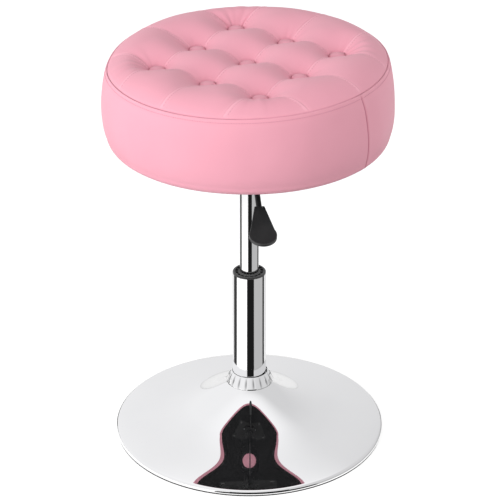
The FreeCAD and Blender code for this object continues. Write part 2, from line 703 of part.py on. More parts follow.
parts["seat_board"] = disc(board_radius, BOARD_BOTTOM, board_top).cut(board_cuts)

# Cover band: leatherette side strip, from the seam to the flap stapled under the board

cover_bottom = BOARD_BOTTOM - COVER_THICK
seam_height = BOARD_BOTTOM + SIDE_HEIGHT
foot_centre = (SEAT_FOOT_RADIUS - SEAT_FOOT_ROUND, cover_bottom + SEAT_FOOT_ROUND)
flap_inner = board_radius - FLAP_WIDTH


def seat_side(depth):
    """Steps down the seat's side, from the seam to the foot, at a depth inside its face."""
    return [
        (SEAM_RADIUS - depth, seam_height),
        [(SIDE_PULL_RADIUS - depth, seam_height - SIDE_PULL_TOP),
         (SIDE_PULL_RADIUS - depth, foot_centre[1] + SIDE_PULL_FOOT),
         (SEAT_FOOT_RADIUS - depth, foot_centre[1])],
    ]


def foot_arc(depth):
    """Half-way and end points of the rounded foot, from the side to the underside."""
    turn = SEAT_FOOT_ROUND - depth
    half = math.sqrt(0.5) * turn
    return [(foot_centre[0] + half, foot_centre[1] - half), (foot_centre[0], foot_centre[1] - turn)]


def band_region(depth):
    """All that lies inside one face of the band, above its flap."""
    return turned(
        (0, cover_bottom + depth),
        (0, seam_height),
        *seat_side(depth),
        foot_arc(depth),
    )


band = band_region(0).cut(band_region(COVER_THICK))
band = band.cut(disc(flap_inner, cover_bottom, BOARD_BOTTOM))
parts["cover_band"] = band

# Cover top and foam: crowned, with sewn channels on the grid's lines and a dimple at each button

top_radius = SEAM_RADIUS - COVER_THICK - FIT_GAP
shoulder_radius = top_radius - SHOULDER_WIDTH
crown_height = seam_height + CROWN_RISE
button_seat = crown_height - BUTTON_SINK


def widened(floor_half, crown_half, depth):
    """Half-width of a hollow where its slanted walls pass above the crown."""
    return crown_half + (crown_half - floor_half) * TUFT_OVERCUT / depth


def dimple(x, y, drop):
    """Round hollow that a button pulls into the seat's top, wider below the covering."""
    mouth = widened(DIMPLE_FLOOR_RADIUS, DIMPLE_RADIUS, BUTTON_SINK)
    place = Vector(x, y, button_seat - drop)
    return Part.makeCone(DIMPLE_FLOOR_RADIUS + drop, mouth + drop, BUTTON_SINK + TUFT_OVERCUT, place)


def channel(place, across_grid, drop):
    """Straight V between two rows of pillows, deepest on the crown and gone at the seam."""
    floor = crown_height - GROOVE_DEPTH - drop
    mouth = crown_height + TUFT_OVERCUT - drop
    half = widened(0, GROOVE_HALF, GROOVE_DEPTH)
    corners = [(0, floor), (half, mouth), (-half, mouth), (0, floor)]
    outline = Part.makePolygon([Vector(-SEAM_RADIUS, place + y, z) for y, z in corners])
    prism = Part.Face(outline).extrude(Vector(2 * SEAM_RADIUS, 0, 0))
    return prism.rotated(ORIGIN, UP, GRID_TURN + (90 if across_grid else 0))


def tufted(solid, drop):
    """Crowned solid with its channels and dimples, all lowered by the covering above it."""
    hollows = [dimple(x, y, drop) for x, y in button_places]
    for across_grid in (False, True):
        hollows += [channel(line, across_grid, drop) for line in grid_lines]
    for hollow in hollows:
        solid = solid.cut(hollow)
    return solid


edge_round = (SHOULDER_WIDTH ** 2 + CROWN_RISE ** 2) / (2 * CROWN_RISE)


def crown(radius, drop):
    """Steps over the flat crown and its rounded edge, out to a radius, below the covering."""
    round_here = edge_round - drop
    centre = crown_height - edge_round
    turn = math.asin((radius - shoulder_radius) / round_here)
    arc = [
        (shoulder_radius + round_here * math.sin(a), centre + round_here * math.cos(a))
        for a in (turn / 2, turn)
    ]
    return [(0, crown_height - drop), (shoulder_radius, crown_height - drop), arc]


def crowned(radius, drop, foot):
    """Crowned round block down to a height."""
    return turned((0, foot), *crown(radius, drop), (radius, foot))


skin_foot = button_seat - CROWN_RISE
under_skin = crowned(top_radius + COVER_THICK, COVER_THICK, skin_foot - COVER_THICK)
skin = tufted(crowned(top_radius, 0, skin_foot), 0).cut(tufted(under_skin, COVER_THICK))
tie_holes = [peg(x, y, TIE_HOLE_RADIUS, BOARD_BOTTOM, crown_height) for x, y in button_places]
parts["cover_top"] = skin.cut(tie_holes)

foam_depth = COVER_THICK + SEAT_GAP
foam = turned(
    (0, board_top),
    *crown(SEAM_RADIUS - foam_depth, foam_depth),
    seat_side(foam_depth)[1],
    (board_radius + SEAT_GAP, foot_centre[1]),
    (board_radius + SEAT_GAP, board_top),
)
parts["seat_foam"] = tufted(foam, foam_depth).cut(tie_holes)

# Buttons: covered domes, each held down by a tie that a toggle stops under the board

buttons = []
ties = []
toggles = []
dome_rise = BUTTON_HEIGHT - BUTTON_EDGE
dome_round = (BUTTON_RADIUS ** 2 + dome_rise ** 2) / (2 * dome_rise)
dome_turn = math.asin(BUTTON_RADIUS / dome_round) / 2
dome_middle = button_seat + BUTTON_HEIGHT - dome_round * (1 - math.cos(dome_turn))
button_dome = turned(
    (0, button_seat),
    (BUTTON_RADIUS - BUTTON_EDGE, button_seat),
    (BUTTON_RADIUS, button_seat + BUTTON_EDGE),
    [(dome_round * math.sin(dome_turn), dome_middle), (0, button_seat + BUTTON_HEIGHT)],
)
for x, y in button_places:
    buttons.append(button_dome.translated(Vector(x, y, 0)))
    ties.append(peg(x, y, TIE_RADIUS, toggle_top, button_seat))
    toggles.append(peg(x, y, TOGGLE_RADIUS, toggle_top - TOGGLE_THICK, toggle_top))
parts["buttons"] = Part.makeCompound(buttons)
parts["button_ties"] = Part.makeCompound(ties)
parts["tie_toggles"] = Part.makeCompound(toggles)

# Dust cover: black cloth under the board, over the band's flap, held by a ring of staples

dust_radius = board_radius - DUST_MARGIN
dust_low = cover_bottom - DUST_THICK
step_inner = flap_inner - DUST_STEP
dust = turned(
    (0, dust_top),
    (step_inner, dust_top),
    (flap_inner - SEAT_GAP, dust_low),
    (dust_radius, dust_low),
    (dust_radius, cover_bottom),
    (flap_inner, cover_bottom),
    (step_inner + SEAT_GAP, BOARD_BOTTOM),
    (0, BOARD_BOTTOM),
)
bolt_holes = [peg(x, y, BOLT_RADIUS + HOLE_GAP, dust_low, BOARD_BOTTOM) for x, y in bolt_places]
parts["dust_cover"] = dust.cut([about_column(hole) for hole in bolt_holes])
staple_radius = dust_radius - STAPLE_INSET
staple = block(
    staple_radius - STAPLE_WIDTH / 2, staple_radius + STAPLE_WIDTH / 2,
    -STAPLE_LENGTH / 2, STAPLE_LENGTH / 2, dust_low - STAPLE_THICK, dust_low,
)
parts["staples"] = Part.makeCompound(
    [staple.rotated(ORIGIN, UP, 360 * i / STAPLE_COUNT) for i in range(STAPLE_COUNT)]
)

os.makedirs("parts", exist_ok=True)
for name, shape in parts.items():
    shape.exportStep(f"parts/{name}.step")
    print(f"{name}: {len(shape.Solids)} solids, {shape.Volume:.0f} mm3, valid {shape.isValid()}")
print(f"lever pivot: {pivot_height:.3f}, release pin: {pin_top:.3f}, cylinder: {cylinder_top:.3f}")
print(f"pivot axis: {about_column(Part.Vertex(0, -PIVOT_REACH, pivot_height)).Point}")
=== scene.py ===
import math
import random

import bmesh
import bpy
import numpy as np
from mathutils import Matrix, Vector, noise


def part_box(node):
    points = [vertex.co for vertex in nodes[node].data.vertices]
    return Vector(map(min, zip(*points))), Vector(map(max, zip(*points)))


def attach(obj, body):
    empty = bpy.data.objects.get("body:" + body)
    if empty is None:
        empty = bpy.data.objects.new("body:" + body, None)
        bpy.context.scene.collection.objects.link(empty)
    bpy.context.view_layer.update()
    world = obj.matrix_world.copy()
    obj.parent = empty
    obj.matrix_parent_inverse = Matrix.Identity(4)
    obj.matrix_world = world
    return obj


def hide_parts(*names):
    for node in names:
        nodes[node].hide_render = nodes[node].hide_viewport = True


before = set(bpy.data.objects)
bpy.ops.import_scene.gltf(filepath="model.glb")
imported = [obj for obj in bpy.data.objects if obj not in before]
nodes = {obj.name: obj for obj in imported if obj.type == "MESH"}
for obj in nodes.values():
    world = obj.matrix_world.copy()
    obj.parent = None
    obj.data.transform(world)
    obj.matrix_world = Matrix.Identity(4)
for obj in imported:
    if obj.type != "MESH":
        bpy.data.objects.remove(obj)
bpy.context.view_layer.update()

# Vanity stool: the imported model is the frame, in metres, with the floor at zero, the column on the
# Z axis and the release lever pointing to -Y. The sections follow the stool as it is put together.

# Floor ring: a moulded ring of black rubber, pushed into the base's rolled rim from below. It
# grips the floor and keeps the chrome off it. The buffer and the piston's seal are rubber too.


class Socket:
    """A shader socket. Arithmetic on it adds Math nodes, and node() adds any other node."""

    def __init__(self, tree, socket=None):
        self.tree = tree
        self.socket = socket

    def node(self, kind, settings, sockets, output=0):
        """New node: its settings are set first, then its sockets get their values or links."""
        made = self.tree.nodes.new("ShaderNode" + kind)
        for name, value in settings.items():
            setattr(made, name, value)
        for name, value in sockets.items():
            self.feed(made.inputs[name], value)
        return Socket(self.tree, made.outputs[output])

    def feed(self, target, value):
        """Links a socket to a target, or sets the target's value."""
        if isinstance(value, Socket):
            self.tree.links.new(value.socket, target)
        else:
            target.default_value = value

    def math(self, operation, first, second):
        return self.node("Math", {"operation": operation}, {0: first, 1: second})

    def __add__(self, other):
        return self.math("ADD", self, other)

    def __sub__(self, other):
        return self.math("SUBTRACT", self, other)

    def __rsub__(self, other):
        return self.math("SUBTRACT", other, self)

    def __mul__(self, other):
        return self.math("MULTIPLY", self, other)

    def __pow__(self, other):
        return self.math("POWER", self, other)

    __radd__ = __add__
    __rmul__ = __mul__

    def blotches(self, scale, detail=3.0):
        """Cloudy noise over this place, from 0 to 1."""
        return self.node("TexNoise", {}, {"Vector": self, "Scale": scale, "Detail": detail})

    def stretched(self, x, y, z):
        """This place with its axes scaled, for grain that runs one way."""
        return self.node("Mapping", {}, {"Vector": self, "Scale": (x, y, z)})

    def tint(self, share, first, second):
        """Colour between two colours."""
        return self.node("MixRGB", {}, {"Fac": share, "Color1": first, "Color2": second})

    def relief(self, height, depth, strength=1.0):
        """Normal of a surface with a fine relief of a depth in metres."""
        return self.node("Bump", {}, {"Strength": strength, "Distance": depth, "Height": height})


def finish(name, **constants):
    """New material with its shader's constant sockets set, and a function that links the rest."""
    material = bpy.data.materials.new(name)
    material.use_nodes = True
    shader = material.node_tree.nodes["Principled BSDF"]
    place = Socket(material.node_tree).node("TexCoord", {}, {}, "Object")

    def link(**sockets):
        for socket, value in sockets.items():
            place.feed(shader.inputs[socket.replace("_", " ")], value)

    link(**constants)
    return material, place, link


def dress(material, *names):
    """Gives CAD nodes a finish."""
    for name in names:
        for slot in nodes[name].material_slots:
            slot.material = material


RUBBER = (0.012, 0.012, 0.013, 1)
RUBBER_DUSTY = (0.035, 0.034, 0.033, 1)

rubber, place, link = finish("moulded_rubber", Specular_IOR_Level=0.3)
dust = place.blotches(45)
link(
    Base_Color=place.tint(dust, RUBBER, RUBBER_DUSTY),
    Roughness=0.55 + 0.25 * dust,
    Normal=place.relief(place.blotches(1500), 0.0001),
)
dress(rubber, "floor_ring", "buffer", "piston_seal")

# Base shell: one disc of sheet steel pressed to a trumpet, with its rim turned down, then polished
# and chromed. It is welded to the socket, and the base ring hides that weld.

CHROME = (0.95, 0.95, 0.955, 1)
CHROME_HAZE = (0.90, 0.90, 0.91, 1)
CHROME_PAINTED_SHADE = (0.10, 0.10, 0.10, 1)
SHELL_WALL = 0.0015
SHELL_NECK = (0.033, 0.0784)
NECK_SLOPE = 80.0
NECK_PULL = 0.0048
SHELL_FLARE = (0.100, 0.0339)
FLARE_SLOPE = 18.46
FLARE_PULL = 0.0383
RIM_SLOPE = 16.94
RIM_ROUND = 0.005
RIM_EDGE = 0.0046
SHELL_TURNS = 320


def read_painted_shading(place):
    """Painted shading kept on a piece's points: above zero painted shade, below zero painted highlight."""
    return place.node("Attribute", {"attribute_name": "painted_shading"}, {}, "Fac")


# Chrome: its haze is its own. Where a piece's points carry painted shade, the chrome is darkened to a dark
# grey.
chrome, place, link = finish("polished_chrome", Metallic=1.0)
haze = place.blotches(14, 4) ** 3
link(
    Base_Color=place.tint(read_painted_shading(place), place.tint(haze, CHROME, CHROME_HAZE), CHROME_PAINTED_SHADE),
    Roughness=0.012 + 0.03 * haze,
)


def down_slope(point, slope, length):
    """Point a length away, outward and down a slope."""
    angle = math.radians(slope)
    return (point[0] + length * math.cos(angle), point[1] - length * math.sin(angle))


def curve(start, first_pull, last_pull, end, steps):
    """Points of a Bezier curve, without its start."""
    points = []
    for i in range(1, steps + 1):
        t = i / steps
        weights = ((1 - t) ** 3, 3 * t * (1 - t) ** 2, 3 * t * t * (1 - t), t ** 3)
        points.append(tuple(
            sum(w * p[axis] for w, p in zip(weights, (start, first_pull, last_pull, end)))
            for axis in (0, 1)
        ))
    return points


def arc(centre, radius, start, end, steps):
    """Points of an arc between two angles in degrees."""
    angles = [math.radians(start + (end - start) * i / steps) for i in range(steps + 1)]
    return [(centre[0] + radius * math.cos(a), centre[1] + radius * math.sin(a)) for a in angles]


def make(name, points, faces, material, body, sharp=None):
    """New smooth piece on a body, with edges kept sharp above an angle in degrees."""
    mesh = bpy.data.meshes.new(name)
    mesh.from_pydata([tuple(p) for p in points], [], faces)
    shape = bmesh.new()
    shape.from_mesh(mesh)
    bmesh.ops.recalc_face_normals(shape, faces=shape.faces)
    shape.to_mesh(mesh)
    shape.free()
    mesh.shade_smooth()
    if sharp:
        mesh.set_sharp_from_angle(angle=math.radians(sharp))
    mesh.materials.append(material)
    piece = bpy.data.objects.new(name, mesh)
    bpy.context.scene.collection.objects.link(piece)
    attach(piece, body)
    return piece


def round_faces(count, turns, closed):
    """Quads between the outlines of a turned piece, each outline with a count of points."""
    faces = []
    for t in range(turns):
        here = t * count
        there = (t + 1) % turns * count
        for i in range(count if closed else count - 1):
            j = (i + 1) % count
            faces.append((here + i, here + j, there + j, there + i))
    return faces


def lathe(outline, turns, closed=True):
    """Points and faces of an outline of (radius, height) points turned about the Z axis."""
    points = []
    for t in range(turns):
        angle = 2 * math.pi * t / turns
        points += [(r * math.cos(angle), r * math.sin(angle), z) for r, z in outline]
    return points, round_faces(len(outline), turns, closed)


def walled(outer, wall):
    """Closed outline of a sheet whose outer face runs downward through these points."""
    inner = []
    for i, (r, z) in enumerate(outer):
        before = outer[max(i - 1, 0)]
        after = outer[min(i + 1, len(outer) - 1)]
        run = (after[0] - before[0], after[1] - before[1])
        length = math.hypot(*run)
        inner.append((r + wall * run[1] / length, z - wall * run[0] / length))
    return inner + outer[::-1]


shell_low, shell_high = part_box("base_shell")
rim_turn = arc((shell_high.x - RIM_ROUND, RIM_EDGE), RIM_ROUND, 90 - RIM_SLOPE, 0, steps=12)
rim_pull = (rim_turn[0][0] - SHELL_FLARE[0]) / 3
neck_rise = (shell_high.z - SHELL_NECK[1]) / math.sin(math.radians(NECK_SLOPE))
shell_face = [down_slope(SHELL_NECK, NECK_SLOPE, -neck_rise), SHELL_NECK]
shell_face += curve(
    SHELL_NECK,
    down_slope(SHELL_NECK, NECK_SLOPE, NECK_PULL),
    down_slope(SHELL_FLARE, FLARE_SLOPE, -FLARE_PULL),
    SHELL_FLARE,
    steps=70,
)
shell_face += curve(
    SHELL_FLARE,
    down_slope(SHELL_FLARE, FLARE_SLOPE, rim_pull),
    down_slope(rim_turn[0], RIM_SLOPE, -rim_pull),
    rim_turn[0],
    steps=30,
)
shell_face += rim_turn[1:] + [(rim_turn[-1][0], shell_low.z)]
shell_points, shell_faces = lathe(walled(shell_face, SHELL_WALL), SHELL_TURNS)
base_shell = make("base_shell_chrome", shell_points, shell_faces, chrome, "base", sharp=40)
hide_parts("base_shell")

# Base plate, base socket, end plate and bearing washers: mild steel, cut and turned, left bare
# inside the base. The plate and the socket are welded to the shell and wedge the column's taper.
# The bearing's balls, the piston's rod, nut and gland, and the release pin are bare steel too.

STEEL = (0.44, 0.44, 0.45, 1)
STEEL_DULL = (0.30, 0.29, 0.28, 1)

bare_steel, place, link = finish("turned_steel", Metallic=1.0)
oiled = place.blotches(30, 5)
rings = place.stretched(1, 1, 60).blotches(90, 2)
link(
    Base_Color=place.tint(oiled, STEEL, STEEL_DULL),
    Roughness=0.28 + 0.25 * oiled,
    Normal=place.relief(rings, 0.00004),
)
dress(
    bare_steel, "base_plate", "base_socket", "column_end_plate", "bearing_lower_washer",
    "bearing_upper_washer", "bearing_balls", "piston_rod", "piston_nut", "rod_gland", "release_pin",
)

# Base ring: a thin pressed collar with shallow flutes, chromed and dropped down the column to hide
# the weld. It stands loose on the shell's neck, a little to one side. Painted shade darkens the
# bottoms of its flutes, where their reflections are dark, and a band under its foot, for the shadow there.

RING_FLUTES = 18
FLUTE_DEPTH = 0.0010
FLUTE_PAINTED_SHADE = 0.75
RING_TURNS = RING_FLUTES * 16
RING_WALL = 0.0012
RING_LOOSE = 0.0012
RING_OFFSET = 0.0008
RING_FOOT = 0.0012
RING_FOOT_SLOPE = 70.0
RING_FOOT_PAINTED_SHADE = 0.9
RING_TOP_SLOPE = 46.0
RING_LIP = 0.0005


def keep_painted_shading(piece, dark):
    """Keeps painted shading on a piece's points: above zero painted shade, below zero painted highlight."""
    layer = piece.data.attributes.new("painted_shading", "FLOAT", "POINT")
    layer.data.foreach_set("value", np.asarray(dark, np.float32))


def between(value, low, high):
    """How far a value has come from the low one to the high one, from 0 to 1."""
    return np.clip((value - low) / (high - low), 0, 1)


ring_low, ring_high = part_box("base_ring")
ring_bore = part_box("column_tube")[1].x + RING_LOOSE
ring_foot = (ring_high.x, ring_low.z + RING_FOOT)
ring_top = (ring_bore + 2 * RING_LIP, ring_high.z - RING_LIP)
ring_pull = math.dist(ring_foot, ring_top) / 3
ring_face = curve(
    ring_foot,
    down_slope(ring_foot, RING_FOOT_SLOPE, -ring_pull),
    down_slope(ring_top, RING_TOP_SLOPE, ring_pull),
    ring_top,
    steps=24,
)
ring_outline = [(ring_high.x - RING_WALL, ring_low.z), (ring_high.x - RING_LIP, ring_low.z), ring_foot]
ring_outline += ring_face
ring_outline += arc((ring_bore + RING_LIP, ring_top[1]), RING_LIP, 90, 180, steps=5)
ring_outline += [(max(r - RING_WALL, ring_bore), z - RING_WALL) for r, z in ring_face[::-1]]
ring_points, ring_faces = lathe(ring_outline, RING_TURNS)
fluted = []
ring_painted_shade = []
for x, y, z in ring_points:
    turn = abs(math.cos(RING_FLUTES * math.atan2(y, x) / 2))
    flank = math.sin(math.pi * between(z, ring_low.z, ring_high.z))
    flute = turn ** 8 + 0.25 * (1 - turn ** 2)
    shrink = 1 - FLUTE_DEPTH * flank * flute / math.hypot(x, y)
    fluted.append((x * shrink + RING_OFFSET, y * shrink, z))
    under_foot = z < ring_low.z + 0.9 * RING_FOOT
    # Painted shade: dark at the flutes' bottoms, and darker still under the foot.
    ring_painted_shade.append(max(FLUTE_PAINTED_SHADE * flank * turn ** 16, RING_FOOT_PAINTED_SHADE * under_foot))
base_ring = make("base_ring_chrome", fluted, ring_faces, chrome, "base", sharp=50)
keep_painted_shading(base_ring, ring_painted_shade)
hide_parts("base_ring")

# Column tube and gas cylinder: drawn steel tubes, polished and chromed. The tube wedges in the
# base's socket, and the cylinder slides in it on the guide bush.

dress(chrome, "column_tube", "gas_cylinder")

# Guide bush: a moulded black plastic sleeve pressed into the tube, with a ribbed collar on its top.
# The lever's paddle is the same plastic.

PLASTIC = (0.018, 0.018, 0.019, 1)
PLASTIC_WORN = (0.045, 0.045, 0.046, 1)

black_plastic, place, link = finish(
    "moulded_plastic", Specular_IOR_Level=0.45, Coat_Weight=0.4, Coat_Roughness=0.22
)
handled = place.blotches(35, 4)
link(
    Base_Color=place.tint(handled, PLASTIC, PLASTIC_WORN),
    Roughness=0.38 + 0.2 * handled,
    Normal=place.relief(place.blotches(2600, 2), 0.00012),
)
dress(black_plastic, "guide_bush", "lever_paddle")

# Thrust bearing and piston: a stamped brass cage, and turned aluminium for the piston and the
# valve's body. They are sealed in the column and show only when it is taken apart.

BRASS = (0.70, 0.52, 0.24, 1)
BRASS_BROWN = (0.46, 0.32, 0.14, 1)
ALUMINIUM = (0.76, 0.76, 0.77, 1)
ALUMINIUM_GREY = (0.60, 0.60, 0.62, 1)


def turned_metal(name, bright, dull):
    """Metal with fine turning marks and stains."""
    material, place, link = finish(name, Metallic=1.0)
    stain = place.blotches(60, 4)
    marks = place.stretched(1, 1, 40).blotches(120, 2)
    link(
        Base_Color=place.tint(stain, bright, dull),
        Roughness=0.25 + 0.2 * stain,
        Normal=place.relief(marks, 0.00003),
    )
    return material


dress(turned_metal("stamped_brass", BRASS, BRASS_BROWN), "bearing_cage")
dress(turned_metal("turned_aluminium", ALUMINIUM, ALUMINIUM_GREY), "piston", "valve_body")

# Seat plate, taper socket and lever rod: pressed and turned steel with a black powder coat, which
# has a slight orange-peel skin. The plate is bolted under the board.

POWDER = (0.014, 0.014, 0.015, 1)
POWDER_GREY = (0.030, 0.030, 0.031, 1)

black_steel, place, link = finish("powder_coat", Specular_IOR_Level=0.3)
rubbed = place.blotches(25, 5)
link(
    Base_Color=place.tint(rubbed, POWDER, POWDER_GREY),
    Roughness=0.45 + 0.2 * rubbed,
    Normal=place.relief(place.blotches(900, 2), 0.00012),
)
dress(black_steel, "seat_plate", "taper_socket", "lever_rod")

# Fasteners: zinc-plated T-nuts, pins and clips, and black zinc on the plate's bolts, their washers
# and the staples, which show under the seat.

ZINC = (0.62, 0.63, 0.64, 1)
ZINC_BLUE = (0.48, 0.50, 0.53, 1)
BLACK_ZINC = (0.055, 0.055, 0.058, 1)
BLACK_ZINC_GREY = (0.110, 0.108, 0.105, 1)

zinc_plate = turned_metal("zinc_plate", ZINC, ZINC_BLUE)
black_zinc = turned_metal("black_zinc", BLACK_ZINC, BLACK_ZINC_GREY)
dress(zinc_plate, "t_nuts", "lever_pivot_pin", "pivot_clip", "retaining_clip", "clip_washer")
dress(black_zinc, "plate_bolts", "bolt_washers", "staples")

# Seat board: a disc of birch plywood, with grain along X on its faces and its plies showing at the
# edge. T-nuts and the buttons' ties go through it.

BIRCH = (0.68, 0.50, 0.31, 1)
BIRCH_DARK = (0.48, 0.32, 0.18, 1)
PLY = 0.0017


def along_axis(place, axis):
    """One coordinate of a place."""
    return place.node("SeparateXYZ", {}, {"Vector": place}, axis)


plywood, place, link = finish("birch_plywood", Specular_IOR_Level=0.3)
figure = place.stretched(6, 90, 6).blotches(5, 6)
plies = place.math("PINGPONG", along_axis(place, "Z"), PLY) * (1 / PLY)
link(
    Base_Color=place.tint(0.7 * figure + 0.3 * plies, BIRCH, BIRCH_DARK),
    Roughness=0.6 + 0.2 * figure,
    Normal=place.relief(figure, 0.0002),
)
dress(plywood, "seat_board")

# Seat foam: a round block of cut foam, glued to the board and pressed in by the cover. The seams
# make valleys in a square grid, and the nine buttons make pits where the valleys cross.

BUTTON_SPACING = 0.090
BUTTON_RADIUS = 0.0115
PILLOW_HALF = BUTTON_SPACING / 2
GRID_TURN = math.radians(-37.4)
TOP_RADIUS = 0.1962
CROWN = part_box("cover_top")[1].z
SHOULDER = 0.150
SHOULDER_ROUND = 0.0674

grid_lines = (-BUTTON_SPACING, 0.0, BUTTON_SPACING)
button_spots = [(u, v) for u in grid_lines for v in grid_lines]


def bell(distance, reach):
    """Smooth bell that is 1 at no distance."""
    return np.exp(-(distance / reach) ** 2)


def ramp(value, low, high):
    """Smooth step from 0 at the low value to 1 at the high one."""
    share = between(value, low, high)
    return share * share * (3 - 2 * share)


def nearest_line(along):
    """Signed distance from the nearest seam of one direction."""
    return along - np.clip(np.round(along / BUTTON_SPACING), -1, 1) * BUTTON_SPACING


def crown_height(radius):
    """Height of the padded top without its tufting: flat, and rounded over towards the edge."""
    beyond = np.clip(radius - SHOULDER, 0, SHOULDER_ROUND * 0.99)
    return CROWN - SHOULDER_ROUND + np.sqrt(SHOULDER_ROUND ** 2 - beyond ** 2)


# Pleats: their count, the width of their fan in degrees, and the ranges of their depth and length.

CORNER_PLEATS = (7, 110, (0.0010, 0.0022), (0.018, 0.044))
SIDE_PLEATS = (4, 80, (0.0004, 0.0009), (0.012, 0.024))
PLEAT_SEED = 11
PLEAT_STRAY = 0.04
PLEAT_WIDTH = 0.0012
PLEAT_SPREAD = 0.10
PLEAT_PAINTED_SHADE = 0.15


def pleats():
    """Creases that fan out from the outer buttons: (u, v, direction, depth, length)."""
    draw = random.Random(PLEAT_SEED)
    made = []
    for u, v in button_spots:
        if u == 0 and v == 0:
            continue
        count, fan, depths, lengths = CORNER_PLEATS if u != 0 and v != 0 else SIDE_PLEATS
        for k in range(count):
            share = (k + 0.5) / count - 0.5 + draw.uniform(-PLEAT_STRAY, PLEAT_STRAY)
            direction = math.atan2(v, u) + share * math.radians(fan)
            made.append((u, v, direction, draw.uniform(*depths), draw.uniform(*lengths)))
    return made


SEAM_DEPTH = 0.0054
EDGE_FADE = 0.070
BOWL_DEPTH = 0.0154
BOWL_REACH = 0.051
BOWL_FADE = 0.045
DIMPLE_DEPTH = 0.0020
DIMPLE_REACH = 0.0030
DIMPLE_PAINTED_SHADE = 0.8
DIMPLE_SHADE_REACH = 0.0014
DISH_DEPTH = 0.0020
DISH_REACH = 0.127
GATHERS = 11
GATHER_TURN = 1.3
GATHER_DEPTH = 0.0004
GATHER_REACH = 0.006
GATHER_START = 0.002
SEAM_WIDTH = 0.0009
SEAM_GROOVE = 0.0005
SEAM_PAINTED_SHADE = 0.20
SEAM_END = 0.004
STITCH_GROOVE = 0.0003
STITCH_PAINTED_SHADE = 0.03
FOLD_WIDTH = 0.0048
FOLD_RISE = 0.0004
FOLD_EDGE = 0.001
FOLD_PAINTED_HIGHLIGHT = 0.40
FOLD_SPREAD = 0.0038


def tufting(u, v):
    """Depth below the crown and painted shade, at places on the grid's axes.

    The painted shade darkens the seams, the stitch rows, the pleats and the pits round the buttons. Below
    zero it is painted highlight, which lightens the folded strip beside each seam.
    """
    radius = np.hypot(u, v)
    inward = TOP_RADIUS - radius
    reach = ramp(inward, 0, EDGE_FADE)
    beside = (nearest_line(u), nearest_line(v))
    valleys = [
        SEAM_DEPTH * reach * np.clip(1 - np.abs(side) / PILLOW_HALF, 0, 1) ** 2
        for side in beside
    ]
    depth = (valleys[0] ** 3 + valleys[1] ** 3) ** (1 / 3)
    nearest = np.full_like(u, 1.0)
    bearing = np.zeros_like(u)
    for button_u, button_v in button_spots:
        away = np.hypot(u - button_u, v - button_v)
        closer = away < nearest
        bearing = np.where(closer, np.arctan2(v - button_v, u - button_u), bearing)
        nearest = np.where(closer, away, nearest)
        bowl = np.clip(1 - np.clip(away - BUTTON_RADIUS, 0, None) / BOWL_REACH, 0, 1) ** 2
        depth += BOWL_DEPTH * bowl * ramp(inward, 0, BOWL_FADE)
    wall = np.clip(nearest - BUTTON_RADIUS, 0, None)
    dimple = np.exp(-wall / DIMPLE_REACH)
    dish = np.clip(1 - (radius / DISH_REACH) ** 2, 0, 1)
    depth += DIMPLE_DEPTH * dimple + DISH_DEPTH * dish
    gathers = np.cos(GATHERS * bearing + GATHER_TURN) * np.exp(-wall / GATHER_REACH)
    gathers *= np.clip(wall / GATHER_START, 0, 1)
    depth += GATHER_DEPTH * gathers
    # Painted shade in the pit round each button.
    dark = DIMPLE_PAINTED_SHADE * np.exp(-wall / DIMPLE_SHADE_REACH)
    for button_u, button_v, direction, deep, length in pleats():
        along = (u - button_u) * math.cos(direction) + (v - button_v) * math.sin(direction)
        across = (v - button_v) * math.cos(direction) - (u - button_u) * math.sin(direction)
        run = np.clip(along - BUTTON_RADIUS, 0, None)
        ends = np.exp(-(run / length) ** 2) * (along > BUTTON_RADIUS * 0.8)
        width = PLEAT_WIDTH + PLEAT_SPREAD * run
        fold = ends * np.exp(-np.abs(across) / width)
        rise = ends * bell(np.abs(across) - 2.2 * width, 1.2 * width)
        depth += deep * fold - 0.5 * deep * rise
        dark = np.maximum(dark, PLEAT_PAINTED_SHADE * fold)
    free = (1 - dimple) * ramp(inward, 0, SEAM_END)
    painted_highlight = np.zeros_like(u)
    # Each seam gets painted shade along its groove and stitch row, and painted highlight on its folded
    # strip.
    for side in (beside[0], -beside[1]):
        seam = bell(side, SEAM_WIDTH) * free
        stitch_row = bell(side - FOLD_WIDTH, SEAM_WIDTH) * free
        strip = np.clip(side / FOLD_EDGE, 0, 1) * np.clip((FOLD_WIDTH - side) / FOLD_EDGE, 0, 1) * free
        depth += SEAM_GROOVE * seam + STITCH_GROOVE * stitch_row - FOLD_RISE * strip
        dark = np.maximum(dark, np.maximum(SEAM_PAINTED_SHADE * seam, STITCH_PAINTED_SHADE * stitch_row))
        painted_highlight = np.maximum(painted_highlight, FOLD_PAINTED_HIGHLIGHT * bell(side - FOLD_WIDTH / 2, FOLD_SPREAD) * free)
    return depth, dark - painted_highlight


EDGE_ROLL = 0.0007
EDGE_ROLL_WIDTH = 0.0035
EDGE_PAINTED_SHADE = 0.5
EDGE_SHADE_WIDTH = 0.0008
STUFFING_SCALE = 14
STUFFING_DEPTH = 0.0012
STUFFING_FADE = 0.02


def top_surface(u, v):
    """Heights of the covered top and its painted shade, at places on the grid's axes. Below zero the painted
    shade is painted highlight.

    The padding is stuffed by hand, so slow noise makes it uneven.
    """
    radius = np.hypot(u, v)
    depth, dark = tufting(u, v)
    inward = TOP_RADIUS - radius
    roll = np.clip(1 - inward / EDGE_ROLL_WIDTH, 0, 1) ** 2
    stuffing = [noise.noise((a * STUFFING_SCALE, b * STUFFING_SCALE, 0)) for a, b in zip(u, v)]
    fullness = STUFFING_DEPTH * np.array(stuffing) * np.clip(inward / STUFFING_FADE, 0, 1)
    # Painted shade along the groove of the edge seam.
    dark += EDGE_PAINTED_SHADE * np.clip(1 - inward / EDGE_SHADE_WIDTH, 0, 1)
    return crown_height(radius) - depth - EDGE_ROLL * roll + fullness, dark


